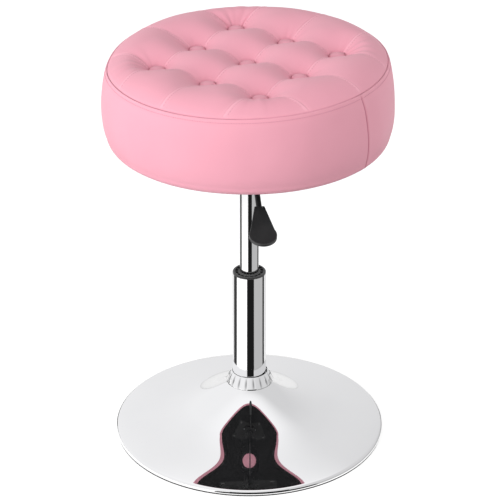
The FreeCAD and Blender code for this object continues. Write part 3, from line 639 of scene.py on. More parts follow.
# The padding leans: it is shifted to the left, has settled beyond the board's edge there, and its
# edge waves. A wave has its direction, its width and its height.

PAD_LEAN = math.tan(math.radians(1.6))
PAD_SHIFT = -0.0026
PAD_SETTLE = 0.4
FOOT_SHIFT = 0.4
BEYOND_BOARD = (0.186, 0.197)
SETTLED_SIDE = (-0.05, 0.10)
WAVE_REACH = (0.13, 0.19)
EDGE_WAVES = (
    (math.radians(176), math.radians(15), -0.0032),
    (math.radians(130), math.radians(26), 0.0024),
)


def turn_from(angle, other):
    """Signed turn from another angle, the short way round."""
    return (angle - other + math.pi) % (2 * math.pi) - math.pi


def leaned(points):
    """Points with the padding's lean, which grows from its foot to the edge seam."""
    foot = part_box("cover_band")[0].z
    edge = crown_height(TOP_RADIUS)
    moved = []
    for x, y, z in points:
        radius = math.hypot(x, y)
        up = between(z, foot, edge)
        beyond = ramp(radius, *BEYOND_BOARD)
        settled = PAD_SETTLE * ramp(-x, *SETTLED_SIDE) * beyond
        share = settled + (1 - settled) * up
        outer = up ** 2 * ramp(radius, *WAVE_REACH)
        wave = 0.0
        for turn, width, height in EDGE_WAVES:
            wave += height * outer * bell(turn_from(math.atan2(y, x), turn), width)
        shift = PAD_SHIFT * (up + (1 - up) * FOOT_SHIFT * beyond)
        moved.append((x + shift, y, z + PAD_LEAN * x * share + wave))
    return moved


def to_frame(u, v):
    """Places on the grid's axes as X and Y of the frame."""
    x = u * math.cos(GRID_TURN) - v * math.sin(GRID_TURN)
    y = u * math.sin(GRID_TURN) + v * math.cos(GRID_TURN)
    return x, y


SEAM_CROWDING = 1.7
RIM_CROWDING = 1.8
OUTER_LINES = 0.8


def disc_grid(radius, steps, rim_steps):
    """Points and quads of a disc, in lines along the grid's axes that crowd towards the seams.

    A square of straight lines is in the middle. Four blocks carry its lines on to the edge, and
    four corner blocks fill the rest.
    """
    half_cell = [PILLOW_HALF * (i / steps) ** SEAM_CROWDING for i in range(steps + 1)]
    lines = {0.0, BUTTON_SPACING, -BUTTON_SPACING}
    for s in half_cell:
        lines |= {s, -s, BUTTON_SPACING - s, s - BUTTON_SPACING}
        if s < PILLOW_HALF * OUTER_LINES:
            lines |= {BUTTON_SPACING + s, -BUTTON_SPACING - s}
    lines = sorted({round(s, 7) for s in lines})
    square = lines[-1]
    edge = math.sqrt(radius ** 2 - square ** 2)
    corner_turn = math.atan2(square, edge)
    shares = [1 - (1 - i / rim_steps) ** RIM_CROWDING for i in range(rim_steps + 1)]
    points = []
    faces = []

    def block(rows):
        """Adds rows of points and the quads between them."""
        first = len(points)
        width = len(rows[0])
        for row in rows:
            points.extend(row)
        for r in range(len(rows) - 1):
            for c in range(width - 1):
                a = first + r * width + c
                faces.append((a, a + 1, a + width + 1, a + width))

    def corner_spot(p, q):
        """Place in a corner block, blended from the block's four sides."""
        a = corner_turn + (math.pi / 4 - corner_turn) * q
        b = math.pi / 2 - corner_turn - (math.pi / 4 - corner_turn) * p
        low = (square + (edge - square) * p, square)
        left = (square, square + (edge - square) * q)
        right = (radius * math.cos(a), radius * math.sin(a))
        high = (radius * math.cos(b), radius * math.sin(b))
        middle = radius * math.sqrt(0.5)
        blend = (
            (1 - q, low), (q, high), (1 - p, left), (p, right),
            (-(1 - p) * (1 - q), (square, square)), (-p * (1 - q), (edge, square)),
            (-(1 - p) * q, (square, edge)), (-p * q, (middle, middle)),
        )
        return [sum(share * spot[axis] for share, spot in blend) for axis in (0, 1)]

    def turned(spot, cos, sin):
        """Place turned by quarter turns."""
        return (spot[0] * cos - spot[1] * sin, spot[0] * sin + spot[1] * cos)

    block([[(u, v) for u in lines] for v in lines])
    for cos, sin in ((1, 0), (0, 1), (-1, 0), (0, -1)):
        rows = []
        for v in lines:
            reach = math.sqrt(radius ** 2 - v ** 2)
            rows.append([turned((square + (reach - square) * s, v), cos, sin) for s in shares])
        block(rows)
        block([[turned(corner_spot(p, q), cos, sin) for p in shares] for q in shares])
    return welded(points, faces)


def welded(points, faces):
    """Points and faces with the points that lie together made one."""
    found = {}
    kept = []
    names = []
    for p in points:
        key = tuple(round(c, 6) for c in p)
        if key not in found:
            found[key] = len(kept)
            kept.append(p)
        names.append(found[key])
    joined = []
    for face in faces:
        corners = [names[i] for i in face]
        if len(set(corners)) == len(corners):
            joined.append(corners)
    return np.array(kept), joined


FOAM = (0.86, 0.80, 0.62, 1)
FOAM_AGED = (0.78, 0.68, 0.44, 1)
FOAM_GAP = 0.0016
FOAM_PIT = 0.0050
FOAM_PIT_REACH = 0.019
FOAM_RADIUS = 0.1935
FOAM_BULGE = 0.2035
FOAM_UPPER_PULL = 0.022
FOAM_LOWER_PULL = 0.015
FOAM_TAPER = 0.0005


def cells(place, scale):
    """Small round cells over a place."""
    return place.node("TexVoronoi", {"feature": "F1"}, {"Vector": place, "Scale": scale}, "Distance")


cut_foam, place, link = finish("cut_foam", Specular_IOR_Level=0.2)
aged = place.blotches(18, 4)
link(
    Base_Color=place.tint(aged, FOAM, FOAM_AGED),
    Roughness=0.85 + 0.1 * aged,
    Normal=place.relief(cells(place, 900), 0.0006),
)
foam_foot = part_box("seat_board")[1].z
foam_places, foam_faces = disc_grid(FOAM_RADIUS, steps=12, rim_steps=8)
foam_u, foam_v = foam_places.T
foam_heights = top_surface(foam_u, foam_v)[0] - FOAM_GAP
for button_u, button_v in button_spots:
    away = np.hypot(foam_u - button_u, foam_v - button_v)
    foam_heights -= FOAM_PIT * np.exp(-(away / FOAM_PIT_REACH) ** 6)
foam_points = [tuple(p) for p in np.stack([*to_frame(foam_u, foam_v), foam_heights], 1)]
foam_edge = [i for i, (x, y, z) in enumerate(foam_points) if math.hypot(x, y) > FOAM_RADIUS - 1e-5]
foam_edge.sort(key=lambda i: math.atan2(foam_points[i][1], foam_points[i][0]))
foam_top = min(foam_points[i][2] for i in foam_edge)
foam_side = curve(
    (FOAM_RADIUS, foam_top),
    (FOAM_BULGE, foam_top - FOAM_UPPER_PULL),
    (FOAM_BULGE, foam_foot + FOAM_LOWER_PULL),
    (FOAM_RADIUS - FOAM_TAPER, foam_foot),
    steps=10,
)
upper = foam_edge
for r, z in foam_side:
    lower = []
    for i in foam_edge:
        angle = math.atan2(foam_points[i][1], foam_points[i][0])
        lower.append(len(foam_points))
        foam_points.append((r * math.cos(angle), r * math.sin(angle), z))
    for k in range(len(lower)):
        n = (k + 1) % len(lower)
        foam_faces.append((upper[k], lower[k], lower[n], upper[n]))
    upper = lower
foam_faces.append(tuple(upper[::-1]))
foam_points = [(x, y, max(z, foam_foot)) for x, y, z in leaned(foam_points)]
seat_foam = make("foam_block", foam_points, foam_faces, cut_foam, "seat", sharp=60)
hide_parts("seat_foam")

# Tufted top: a round panel of pink leatherette, sewn from strips in a square grid and pulled down
# by nine buttons. Each seam is folded to one side and stitched beside its fold.

# Pink of the leatherette, with a deep pink for painted shade and a pale pink for painted highlight.
PINK = (0.880, 0.400, 0.490, 1)
PINK_SHADE = (0.835, 0.360, 0.450, 1)
PINK_PAINTED_HIGHLIGHT = (0.980, 0.530, 0.620, 1)
PINK_PAINTED_SHADE = (0.480, 0.110, 0.180, 1)

leatherette, place, link = finish(
    "pink_leatherette", Specular_IOR_Level=0.4, Sheen_Weight=0.08, Sheen_Roughness=0.6
)
worn = place.blotches(11, 4)
grain = place.blotches(850)
# Painted shade darkens the pink in seams, grooves, pleats and pits, and painted highlight lightens it on the
# seams' folded strips.
painted_shading = read_painted_shading(place)
painted_highlight = place.node("Clamp", {}, {"Value": 0 - painted_shading})
skin = place.tint(painted_highlight, place.tint(worn, PINK, PINK_SHADE), PINK_PAINTED_HIGHLIGHT)
link(
    Base_Color=place.tint(painted_shading, skin, PINK_PAINTED_SHADE),
    Roughness=0.42 + 0.14 * worn + 0.08 * grain,
    Normal=place.relief(0.6 * grain + 0.7 * cells(place, 780), 0.00022, 0.55),
)
top_places, top_faces = disc_grid(TOP_RADIUS, steps=22, rim_steps=30)
top_u, top_v = top_places.T
top_heights, top_painted_shading = top_surface(top_u, top_v)
top_points = leaned(np.stack([*to_frame(top_u, top_v), top_heights], 1))
cover_top = make("tufted_top", top_points, top_faces, leatherette, "seat")
keep_painted_shading(cover_top, top_painted_shading)
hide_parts("cover_top")

# Side band: one strip of the same leatherette, sewn to the top, with its ends joined in an upright
# seam. It is pulled under the board and stapled there. Its lip, where it is sewn to the top, has
# points with their places outward and up from the top's edge, and their painted shade, which stands
# for the shadow in the edge seam's groove and is less where that seam lies flush at the front.
# Painted shade also darkens the upright seam and the stitch line.

BAND_LIP = (
    (-0.0025, -0.0007, 1.0),
    (-0.0002, -0.0006, 0.6),
    (0.0003, -0.0002, 0.2),
    (0.0010, 0.0001, 0.0),
    (0.0019, -0.0002, 0.0),
)
LIP_PAINTED_SHADE = 0.9
BAND_TURNS = 360
BAND_STEPS = 60
UPPER_BULGE = 0.2058
LOWER_BULGE = 0.2108
BULGE_PULL = 0.020
FOOT_ROUND = 0.0135
FOOT_RADIUS = 0.2017
FLAP_FOLD = 0.004
FLAP_INNER = 0.172
SIDE_SEAM = math.radians(-38.6)
SIDE_SEAM_TUCK = 0.0013
SIDE_SEAM_PAINTED_SHADE = 0.6
SIDE_SEAM_CROWD = 0.0012
SEAM_LEAN = math.radians(-1.0)
SEAM_LEAN_FROM = 0.8
SEAM_LEAN_REACH = 0.05
FOOT_LEAN = math.radians(2.4)
FOOT_LEAN_REACH = 0.15
PUFF_HEIGHT = 0.0005
PUFF_AWAY = 0.004
PUFF_WIDTH = 0.003
SLOW_SWELL = 0.0014
FINE_SWELL = 0.0004
STITCH_DROP = 0.0046
STITCH_LINE_WIDTH = 0.0011
STITCH_LINE_TUCK = 0.00015
STITCH_LINE_PAINTED_SHADE = 0.06
FLUSH_TURN = math.radians(-72)
FLUSH_WIDTH = math.radians(32)
FLUSH_TUCK = 0.0006
FLUSH_REACH = 0.004
FLUSH_LESS_SHADE = 0.7

band_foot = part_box("cover_band")[0].z
edge_height = crown_height(TOP_RADIUS) - EDGE_ROLL
foot_centre = (FOOT_RADIUS - FOOT_ROUND, band_foot + FOOT_ROUND)
band_face = [(TOP_RADIUS + out, edge_height + up) for out, up, dark in BAND_LIP]
band_face += curve(
    band_face[-1],
    (UPPER_BULGE, edge_height - BULGE_PULL),
    (LOWER_BULGE, foot_centre[1] + BULGE_PULL),
    (FOOT_RADIUS, foot_centre[1]),
    BAND_STEPS,
)
band_face += arc(foot_centre, FOOT_ROUND, 0, -90, steps=8)[1:]
band_face += [(foot_centre[0] - FLAP_FOLD, band_foot), (FLAP_INNER, band_foot)]
lip_painted_shade = [dark for out, up, dark in BAND_LIP] + [0.0] * (len(band_face) - len(BAND_LIP))
crowd_steps = (-6, -4, -3, -2, -1.3, -0.8, -0.4, 0, 0.4, 0.8, 1.3, 2, 3, 4, 6)
band_angles = [SIDE_SEAM + SIDE_SEAM_CROWD * step / FOOT_RADIUS for step in crowd_steps]
last_angle = band_angles[-1]
round_turn = 2 * math.pi - (last_angle - band_angles[0])
band_angles += [last_angle + round_turn * i / BAND_TURNS for i in range(1, BAND_TURNS)]


def flush(angle):
    """How flush the edge seam lies: 1 in the middle of its flat stretch at the front, 0 elsewhere."""
    return bell(turn_from(angle, FLUSH_TURN), FLUSH_WIDTH)


def band_shift(angle, z):
    """How far the band stands out of its even round, and the painted shade of its seams and stitch line
    there.
    """
    up = between(z, band_foot, edge_height)
    side = turn_from(angle, SIDE_SEAM) * FOOT_RADIUS
    slow = noise.noise((2.6 * math.cos(angle), 2.6 * math.sin(angle), 14 * z))
    fine = noise.noise((9 * math.cos(angle), 9 * math.sin(angle), 26 * z + 5))
    swell = (SLOW_SWELL * slow + FINE_SWELL * fine) * math.sin(math.pi * up)
    seam = bell(side, SEAM_WIDTH) * (1 - up ** 30)
    puff = PUFF_HEIGHT * bell(abs(side) - PUFF_AWAY, PUFF_WIDTH)
    stitch_line = bell(edge_height - z - STITCH_DROP, STITCH_LINE_WIDTH)
    tuck = FLUSH_TUCK * flush(angle) * bell(edge_height - z, FLUSH_REACH)
    shift = swell - SIDE_SEAM_TUCK * seam + puff - STITCH_LINE_TUCK * stitch_line - tuck
    return shift, max(SIDE_SEAM_PAINTED_SHADE * seam, STITCH_LINE_PAINTED_SHADE * stitch_line)


band_points = []
band_painted_shade = []
for angle in band_angles:
    from_seam = abs(turn_from(angle, SIDE_SEAM))
    # Painted shade in the edge seam's groove, less where the seam lies flush at the front.
    edge_painted_shade = LIP_PAINTED_SHADE - FLUSH_LESS_SHADE * flush(angle)
    for (r, z), lip in zip(band_face, lip_painted_shade):
        up = (z - band_foot) / (edge_height - band_foot)
        at_top = max(up - SEAM_LEAN_FROM, 0) / (1 - SEAM_LEAN_FROM)
        at_foot = (1 - min(max(up, 0), 1)) ** 1.5
        bent = angle + SEAM_LEAN * at_top * math.exp(-from_seam / SEAM_LEAN_REACH)
        bent += FOOT_LEAN * at_foot * math.exp(-from_seam / FOOT_LEAN_REACH)
        shift, dark = band_shift(angle, z)
        band_points.append(((r + shift) * math.cos(bent), (r + shift) * math.sin(bent), z))
        band_painted_shade.append(max(dark, edge_painted_shade * lip))
band_faces = round_faces(len(band_face), len(band_angles), closed=False)
cover_band = make("side_band", leaned(band_points), band_faces, leatherette, "seat")
keep_painted_shading(cover_band, band_painted_shade)
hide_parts("cover_band")

# Stitching: rows of pink thread beside each seam of the top and below the band's edge seam. A
# machine sews them, so they are even and lie in a shallow line. A stitch's profile has shares of
# its length, with the thread's thickness there and its lift out of the cover.

STITCH_PROFILE = (
    (0.0, 0.35, -0.9), (0.12, 0.8, -0.2), (0.35, 1.0, 0.15),
    (0.65, 1.0, 0.15), (0.88, 0.8, -0.2), (1.0, 0.35, -0.9),
)
STITCH_LENGTH = 0.0026
STITCH_PITCH = 0.0042
STITCH_THICK = 0.00075
STITCH_SIDES = 6
STITCH_LIFT = 0.0001
STITCH_MARGIN = 0.004
STITCH_CLEAR = 0.003
BAND_STITCH_PITCH = STITCH_PITCH * 0.85
BAND_STITCH_SHARE = 0.45
# The band's stitches are darkened with painted shade, for the shadow in their holes.
BAND_STITCH_PAINTED_SHADE = 0.8
THREAD = (0.780, 0.330, 0.415, 1)
THREAD_SHADE = (0.640, 0.240, 0.320, 1)

thread, place, link = finish("pink_thread", Specular_IOR_Level=0.35)
twist = place.blotches(2200, 2)
# Painted shade on a stitch's points darkens the thread to a deep pink.
link(
    Base_Color=place.tint(read_painted_shading(place), place.tint(twist, THREAD, THREAD_SHADE), PINK_PAINTED_SHADE),
    Roughness=0.5 + 0.2 * twist,
    Normal=place.relief(twist, 0.0001),
)
stitch_points = []
stitch_faces = []
stitch_painted_shade = []


def stitch(start, end, out, dark):
    """One stitch between two points: a thin rounded thread that dips into the cover at its ends, with its
    painted shade.
    """
    start = np.array(start)
    run = np.array(end) - start
    out = np.array(out)
    across = np.cross(run / np.linalg.norm(run), out)
    first = len(stitch_points)
    last = first + (len(STITCH_PROFILE) - 1) * STITCH_SIDES
    for share, size, lift in STITCH_PROFILE:
        middle = start + share * run + out * lift * STITCH_THICK / 2
        for k in range(STITCH_SIDES):
            a = 2 * math.pi * k / STITCH_SIDES
            spoke = across * math.cos(a) + out * math.sin(a)
            stitch_points.append(tuple(middle + spoke * size * STITCH_THICK / 2))
            stitch_painted_shade.append(dark)
    for here in range(first, last, STITCH_SIDES):
        there = here + STITCH_SIDES
        for k in range(STITCH_SIDES):
            n = (k + 1) % STITCH_SIDES
            stitch_faces.append((here + k, here + n, there + n, there + k))
    stitch_faces.append(tuple(first + k for k in range(STITCH_SIDES))[::-1])
    stitch_faces.append(tuple(last + k for k in range(STITCH_SIDES)))


for swapped in (False, True):
    for line in grid_lines:
        across = line + FOLD_WIDTH if swapped else line - FOLD_WIDTH
        reach = math.sqrt((TOP_RADIUS - STITCH_MARGIN) ** 2 - across ** 2)
        for mark in np.arange(-reach, reach - STITCH_LENGTH, STITCH_PITCH):
            ends = np.array([mark, mark + STITCH_LENGTH])
            if min(abs(ends.mean() - other) for other in grid_lines) < BUTTON_RADIUS + STITCH_CLEAR:
                continue
            row = np.full(2, across)
            u, v = (row, ends) if swapped else (ends, row)
            height = top_surface(u, v)[0] + STITCH_LIFT
            stitch(*np.stack([*to_frame(u, v), height], 1), (0, 0, 1), 0.0)
stitch_height = edge_height - STITCH_DROP
band_side = [p for p in band_face if p[0] > TOP_RADIUS]
stitch_round = min(band_side, key=lambda p: abs(p[1] - stitch_height))[0]
stitch_count = int(2 * math.pi * stitch_round / BAND_STITCH_PITCH)
for i in range(stitch_count):
    ends = []
    for share in (0.0, BAND_STITCH_SHARE):
        angle = 2 * math.pi * (i + share) / stitch_count
        r = stitch_round + band_shift(angle, stitch_height)[0] + STITCH_LIFT
        ends.append((r * math.cos(angle), r * math.sin(angle), stitch_height))
    stitch(ends[0], ends[1], (math.cos(angle), math.sin(angle), 0), BAND_STITCH_PAINTED_SHADE)
stitching = make("seam_stitches", leaned(stitch_points), stitch_faces, thread, "seat")
keep_painted_shading(stitching, stitch_painted_shade)

# Buttons: nine pressed metal shells, covered with the same leatherette. Each is tied down through
# the foam and the board, and those nearer the middle lie a little deeper.

BUTTON_DOME = 0.0042
BUTTON_DOME_STEPS = 9
BUTTON_EDGE = 0.0018
BUTTON_FOOT = BUTTON_RADIUS * 0.86
BUTTON_TURNS = 40

button_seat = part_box("buttons")[0].z
button_rim = (BUTTON_RADIUS - BUTTON_EDGE, button_seat + BUTTON_EDGE)
button_face = [(BUTTON_FOOT, button_seat)]
button_face += arc(button_rim, BUTTON_EDGE, -70, 35, steps=6)
dome_r, dome_z = button_face[-1]
for i in range(1, BUTTON_DOME_STEPS):
    rise = i / BUTTON_DOME_STEPS * math.pi / 2
    button_face.append((dome_r * math.cos(rise), dome_z + BUTTON_DOME * math.sin(rise)))
button_points = []
button_faces = []
for button_u, button_v in button_spots:
    x, y = to_frame(button_u, button_v)
    drop = DISH_DEPTH * max(1 - (math.hypot(x, y) / DISH_REACH) ** 2, 0)
    first = len(button_points)
    points, faces = lathe(button_face, BUTTON_TURNS, closed=False)
    button_points += [(x + px, y + py, pz - drop) for px, py, pz in points]
    button_faces += [tuple(first + i for i in face) for face in faces]
    feet = [first + t * len(button_face) for t in range(BUTTON_TURNS)]
    tops = [foot + len(button_face) - 1 for foot in feet]
    button_faces += [tuple(tops), tuple(feet[::-1])]
buttons = make("covered_buttons", leaned(button_points), button_faces, leatherette, "seat")
keep_painted_shading(buttons, np.zeros(len(button_points)))
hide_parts("buttons")

# Ties and toggles: waxed twine through each button's eye, down through the foam and the board, and
# moulded toggles that stop it in the board's counterbores.

TWINE = (0.62, 0.55, 0.43, 1)
TWINE_DARK = (0.42, 0.35, 0.26, 1)
TOGGLE = (0.72, 0.72, 0.70, 1)
TOGGLE_GREY = (0.62, 0.61, 0.58, 1)

twine, place, link = finish("waxed_twine", Specular_IOR_Level=0.3)
strands = place.stretched(1, 1, 3).blotches(700, 2)
link(
    Base_Color=place.tint(strands, TWINE, TWINE_DARK),
    Roughness=0.6 + 0.2 * strands,
    Normal=place.relief(strands, 0.0003),
)
dress(twine, "button_ties")
toggle_plastic, place, link = finish("moulded_toggle")
flow = place.blotches(120)
link(
    Base_Color=place.tint(flow, TOGGLE, TOGGLE_GREY),
    Roughness=0.4 + 0.15 * flow,
    Normal=place.relief(place.blotches(1600), 0.0001),
)
dress(toggle_plastic, "tie_toggles")

# Dust cover: a disc of black spun cloth, stretched under the board over the band's turned-in flap
# and stapled round its edge. The seat plate is bolted on over it, and it sags a little between the
# plate and the flap.

CLOTH = (0.010, 0.010, 0.011, 1)
CLOTH_GREY = (0.030, 0.030, 0.032, 1)
CLOTH_THICK = 0.0005
CLOTH_GAP = 0.0001
CLOTH_RADIUS = 0.184
CLOTH_STEPS = 44
CLOTH_TURNS = 144
FLAP_STEP = 0.167
FLAP_STEP_WIDTH = 0.005
PLATE_REACH = 0.122
SAG = 0.0016
SAG_FROM_PLATE = 0.02
SAG_FROM_FLAP = 0.03
PUCKERS = 36
PUCKER_DEPTH = 0.0002
PUCKER_START = 0.150
PUCKER_FADE = 0.03
PUCKER_END = CLOTH_RADIUS - 0.007

spun_cloth, place, link = finish("spun_cloth", Specular_IOR_Level=0.25)
fibres = place.stretched(1, 5, 1).blotches(420, 4)
link(
    Base_Color=place.tint(fibres, CLOTH, CLOTH_GREY),
    Roughness=0.75 + 0.2 * fibres,
    Normal=place.relief(0.5 * fibres + cells(place, 420), 0.0003),
)
cloth_low, cloth_high = (corner.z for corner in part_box("dust_cover"))
flap_drop = cloth_high - cloth_low - CLOTH_THICK - CLOTH_GAP
cloth_outline = []
for i in range(1, CLOTH_STEPS + 1):
    r = CLOTH_RADIUS * i / CLOTH_STEPS
    step = between(r, FLAP_STEP, FLAP_STEP + FLAP_STEP_WIDTH)
    cloth_outline.append((r, cloth_high - CLOTH_GAP - flap_drop * step))
cloth_points = []
for t in range(CLOTH_TURNS):
    angle = 2 * math.pi * t / CLOTH_TURNS
    upper = []
    for r, z in cloth_outline:
        loose = between(r, PLATE_REACH, PLATE_REACH + SAG_FROM_PLATE)
        loose *= between(r, FLAP_STEP, FLAP_STEP - SAG_FROM_FLAP)
        wave = 0.6 + 0.4 * noise.noise((5 * math.cos(angle), 5 * math.sin(angle), 30 * r))
        drop = SAG * loose * wave
        if r < PUCKER_END:
            outward = between(r, PUCKER_START, PUCKER_START + PUCKER_FADE)
            drop += PUCKER_DEPTH * max(math.cos(PUCKERS * angle), 0) * outward
        upper.append((r * math.cos(angle), r * math.sin(angle), z - drop))
    cloth_points += upper + [(x, y, z - CLOTH_THICK) for x, y, z in upper[::-1]]
cloth_faces = round_faces(2 * CLOTH_STEPS, CLOTH_TURNS, closed=False)
for inner in (0, 2 * CLOTH_STEPS - 1):
    cloth_faces.append(tuple(2 * CLOTH_STEPS * t + inner for t in range(CLOTH_TURNS)))
dust_cover = make("stapled_cloth", cloth_points, cloth_faces, spun_cloth, "seat", sharp=50)
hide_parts("dust_cover")

# Camera: at the photograph's angle, in front of the stool and above it, with a long lens that
# hardly bends the upright lines.

CAMERA_PLACE = (0, -3.1029, 1.8993)
CAMERA_PITCH = 27.33
CAMERA_LENS = 172.8
CAMERA_SENSOR = 36
CAMERA_SHIFT = 0.0014

camera = bpy.data.objects.new("camera", bpy.data.cameras.new("camera"))
bpy.context.scene.collection.objects.link(camera)
camera.location = CAMERA_PLACE
camera.rotation_euler = (math.radians(90 - CAMERA_PITCH), 0, 0)
camera.data.lens = CAMERA_LENS
camera.data.sensor_width = CAMERA_SENSOR
camera.data.shift_x = CAMERA_SHIFT
bpy.context.scene.camera = camera
bpy.context.scene.view_settings.view_transform = "Standard"

# Studio floor: a wide disc, matt and grey-white, which keeps the stool's shadow. It glows for the
# camera and in the chrome only, so that it looks white without more light on the stool. From
# below it is clear.

FLOOR_RADIUS = 14.0
FLOOR_SIDES = 64
FLOOR_WHITE = (0.50, 0.50, 0.50, 1)
FLOOR_GLOW = 0.72
NEAR_FADE = (0.45, 1.0)
NEAR_GLOW = 0.45
FAR_FADE = (1.0, 3.0)
FAR_GLOW = 1.15
BACK_FADE = (-0.05, 0.25)
BACK_GLOW = 0.60
WHITE = (1, 1, 1, 1)


def bare_tree(owner, shader):
    """Node tree of a studio material or surround, without the shader that it starts with."""
    owner.use_nodes = True
    owner.node_tree.nodes.remove(owner.node_tree.nodes[shader])
    return Socket(owner.node_tree)


def staged(name, points, faces, material):
    """New piece of the studio, which isn't part of the stool."""
    mesh = bpy.data.meshes.new(name)
    mesh.from_pydata(points, [], faces)
    mesh.materials.append(material)
    piece = bpy.data.objects.new(name, mesh)
    bpy.context.scene.collection.objects.link(piece)
    return piece


def rays(start):
    """Whether a ray comes from the camera, straight or through glass, and whether it is mirrored."""
    seen = start.node("LightPath", {}, {}, "Is Camera Ray")
    seen = seen + start.node("LightPath", {}, {}, "Is Transmission Ray")
    return seen, start.node("LightPath", {}, {}, "Is Glossy Ray")


def eased(value, limits, first, last):
    """Smooth step from the first value at the lower limit to the last one at the upper limit."""
    sockets = {"Value": value, "From Min": limits[0], "From Max": limits[1], "To Min": first, "To Max": last}
    return value.node("MapRange", {"interpolation_type": "SMOOTHSTEP"}, sockets)


floor_material = bpy.data.materials.new("studio_floor")
start = bare_tree(floor_material, "Principled BSDF")
seen, mirrored = rays(start)
floor_place = start.node("TexCoord", {}, {}, "Object")
distance = start.node("VectorMath", {"operation": "LENGTH"}, {0: floor_place}, "Value")
near_share = eased(distance, NEAR_FADE, 1.0, NEAR_GLOW)
far_share = eased(distance, FAR_FADE, 1.0, FAR_GLOW)
front_share = eased(along_axis(floor_place, "Y"), BACK_FADE, 1.0, 0.0)
mirror_share = BACK_GLOW + (near_share - BACK_GLOW) * front_share
strength = FLOOR_GLOW * (seen * far_share + mirrored * mirror_share)
matt = start.node("BsdfDiffuse", {}, {"Color": FLOOR_WHITE})
glow = start.node("Emission", {}, {"Color": WHITE, "Strength": strength})
lit = start.node("AddShader", {}, {0: matt, 1: glow})
clear = start.node("BsdfTransparent", {}, {})
behind = start.node("NewGeometry", {}, {}, "Backfacing")
floor_shader = start.node("MixShader", {}, {"Fac": behind, 1: lit, 2: clear})
start.feed(start.tree.nodes["Material Output"].inputs["Surface"], floor_shader)
floor_points = [(x, y, 0) for x, y in arc((0, 0), FLOOR_RADIUS, 0, 360, FLOOR_SIDES)[:-1]]
staged("studio_floor", floor_points, [tuple(range(FLOOR_SIDES))], floor_material)

# Cards: dark and grey boards that lie on the floor round the stool, and are seen only in the
# chrome. They give the tube and the cylinder the dark stripes of a studio's unlit side. The black
# one also stands up at its far end. A card has its angles, its inner and outer radius and its rise.

CARD_INNER = 0.205
CARD_MIDDLE = 0.512
CARD_FAR = 0.92
CARD_OUTER = 4.0
CARD_LIFT = 0.0008
CARD_STEPS = 16
CARD_BLACK = (0.012, 0.012, 0.012, 1)
CARD_DARK = (0.05, 0.05, 0.05, 1)
CARD_DIM = (0.08, 0.08, 0.08, 1)
CARD_GREY = (0.50, 0.50, 0.50, 1)
CARDS = (
    ("black", CARD_BLACK, -105, -59, CARD_INNER, CARD_OUTER, 0.75),
    ("grey", CARD_GREY, -59, 8, CARD_INNER, CARD_MIDDLE, 0.0),
    ("far_grey", CARD_GREY, -59, 23, CARD_MIDDLE, CARD_OUTER, 0.0),
    ("right_dark", CARD_DARK, 8, 27, CARD_INNER, CARD_MIDDLE, 0.0),
    ("far_right_dark", CARD_DARK, 23, 53, CARD_MIDDLE, CARD_FAR, 0.0),
    ("left_dark", CARD_DARK, 146, 179, CARD_INNER, CARD_MIDDLE, 0.0),
    ("far_left_dark", CARD_DIM, 126, 168, CARD_MIDDLE, CARD_FAR, 0.0),
)

for name, colour, low, high, inner, outer, rise in CARDS:
    card_material = bpy.data.materials.new("card_" + name)
    start = bare_tree(card_material, "Principled BSDF")
    card_glow = start.node("Emission", {}, {"Color": colour, "Strength": 1.0})
    start.feed(start.tree.nodes["Material Output"].inputs["Surface"], card_glow)
    rows = [(inner, CARD_LIFT), (outer, CARD_LIFT)]
    if rise:
        rows.append((outer, CARD_LIFT + rise))
    width = CARD_STEPS + 1
    card_points = [(x, y, z) for r, z in rows for x, y in arc((0, 0), r, low, high, CARD_STEPS)]
    card_faces = []
    for row in range(len(rows) - 1):
        for i in range(row * width, row * width + CARD_STEPS):
            card_faces.append((i, i + 1, i + width + 1, i + width))
    card = staged("card_" + name, card_points, card_faces, card_material)
    card.visible_camera = False
    card.visible_diffuse = False
    card.visible_transmission = False
    card.visible_shadow = False

# Surround: a white tent round the studio, which lights the stool evenly. In the chrome it is
# brighter at the left than at the right, and brightest overhead.

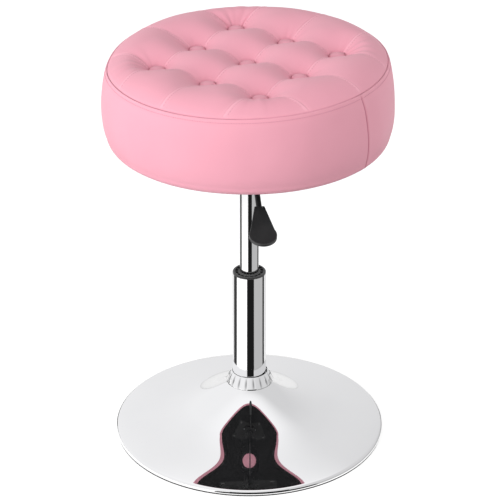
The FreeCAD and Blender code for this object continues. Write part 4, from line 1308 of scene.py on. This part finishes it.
SURROUND_LIGHT = 0.46
MIRROR_WHITE = (0.99, 0.99, 1, 1)
MIRROR_MIDDLE = 0.82
MIRROR_SLOPE = 0.22
MIRROR_LEAST = 0.68
MIRROR_MOST = 0.92
OVERHEAD = (0.70, 0.98)

world = bpy.data.worlds.new("studio_surround")
bpy.context.scene.world = world
start = bare_tree(world, "Background")
seen, mirrored = rays(start)
direction = start.node("TexCoord", {}, {}, "Generated")
side_light = MIRROR_MIDDLE - MIRROR_SLOPE * along_axis(direction, "X")
side_light = start.node("Clamp", {}, {"Value": side_light, "Min": MIRROR_LEAST, "Max": MIRROR_MOST})
overhead = eased(along_axis(direction, "Z"), OVERHEAD, 0.0, 1.0)
mirror_strength = side_light + overhead * (1.0 - side_light)
even = start.node("Background", {}, {"Color": WHITE, "Strength": SURROUND_LIGHT})
mirror_light = start.node("Background", {}, {"Color": MIRROR_WHITE, "Strength": mirror_strength})
white = start.node("Background", {}, {"Color": WHITE, "Strength": 1.0})
mixed = start.node("MixShader", {}, {"Fac": mirrored, 1: even, 2: mirror_light})
mixed = start.node("MixShader", {}, {"Fac": seen, 1: mixed, 2: white})
start.feed(start.tree.nodes["World Output"].inputs["Surface"], mixed)

# Lamps: a large soft key lamp at the left front, a weaker fill at the right front and two weak ones
# at the sides behind. The chrome doesn't mirror them. A lamp has its place, size and power.

LAMP_TARGET = (0, 0, 0.5)
LAMPS = (
    ("key_lamp", (-2.1, -1.9, 1.5), 1.6, 70.0),
    ("fill_lamp", (2.0, -1.6, 1.8), 1.8, 18.0),
    ("back_lamp", (2.2, 0.6, 1.0), 1.4, 10.0),
    ("left_lamp", (-2.2, 0.8, 1.1), 1.4, 10.0),
)

for name, spot, size, power in LAMPS:
    light = bpy.data.lights.new(name, "AREA")
    light.size = size
    light.energy = power
    lamp = bpy.data.objects.new(name, light)
    bpy.context.scene.collection.objects.link(lamp)
    lamp.location = spot
    aim = [b - a for a, b in zip(spot, LAMP_TARGET)]
    level = math.hypot(aim[0], aim[1])
    lamp.rotation_euler = (math.atan2(level, -aim[2]), 0, math.atan2(aim[1], aim[0]) - math.pi / 2)
    lamp.visible_glossy = False
    lamp.visible_camera = False
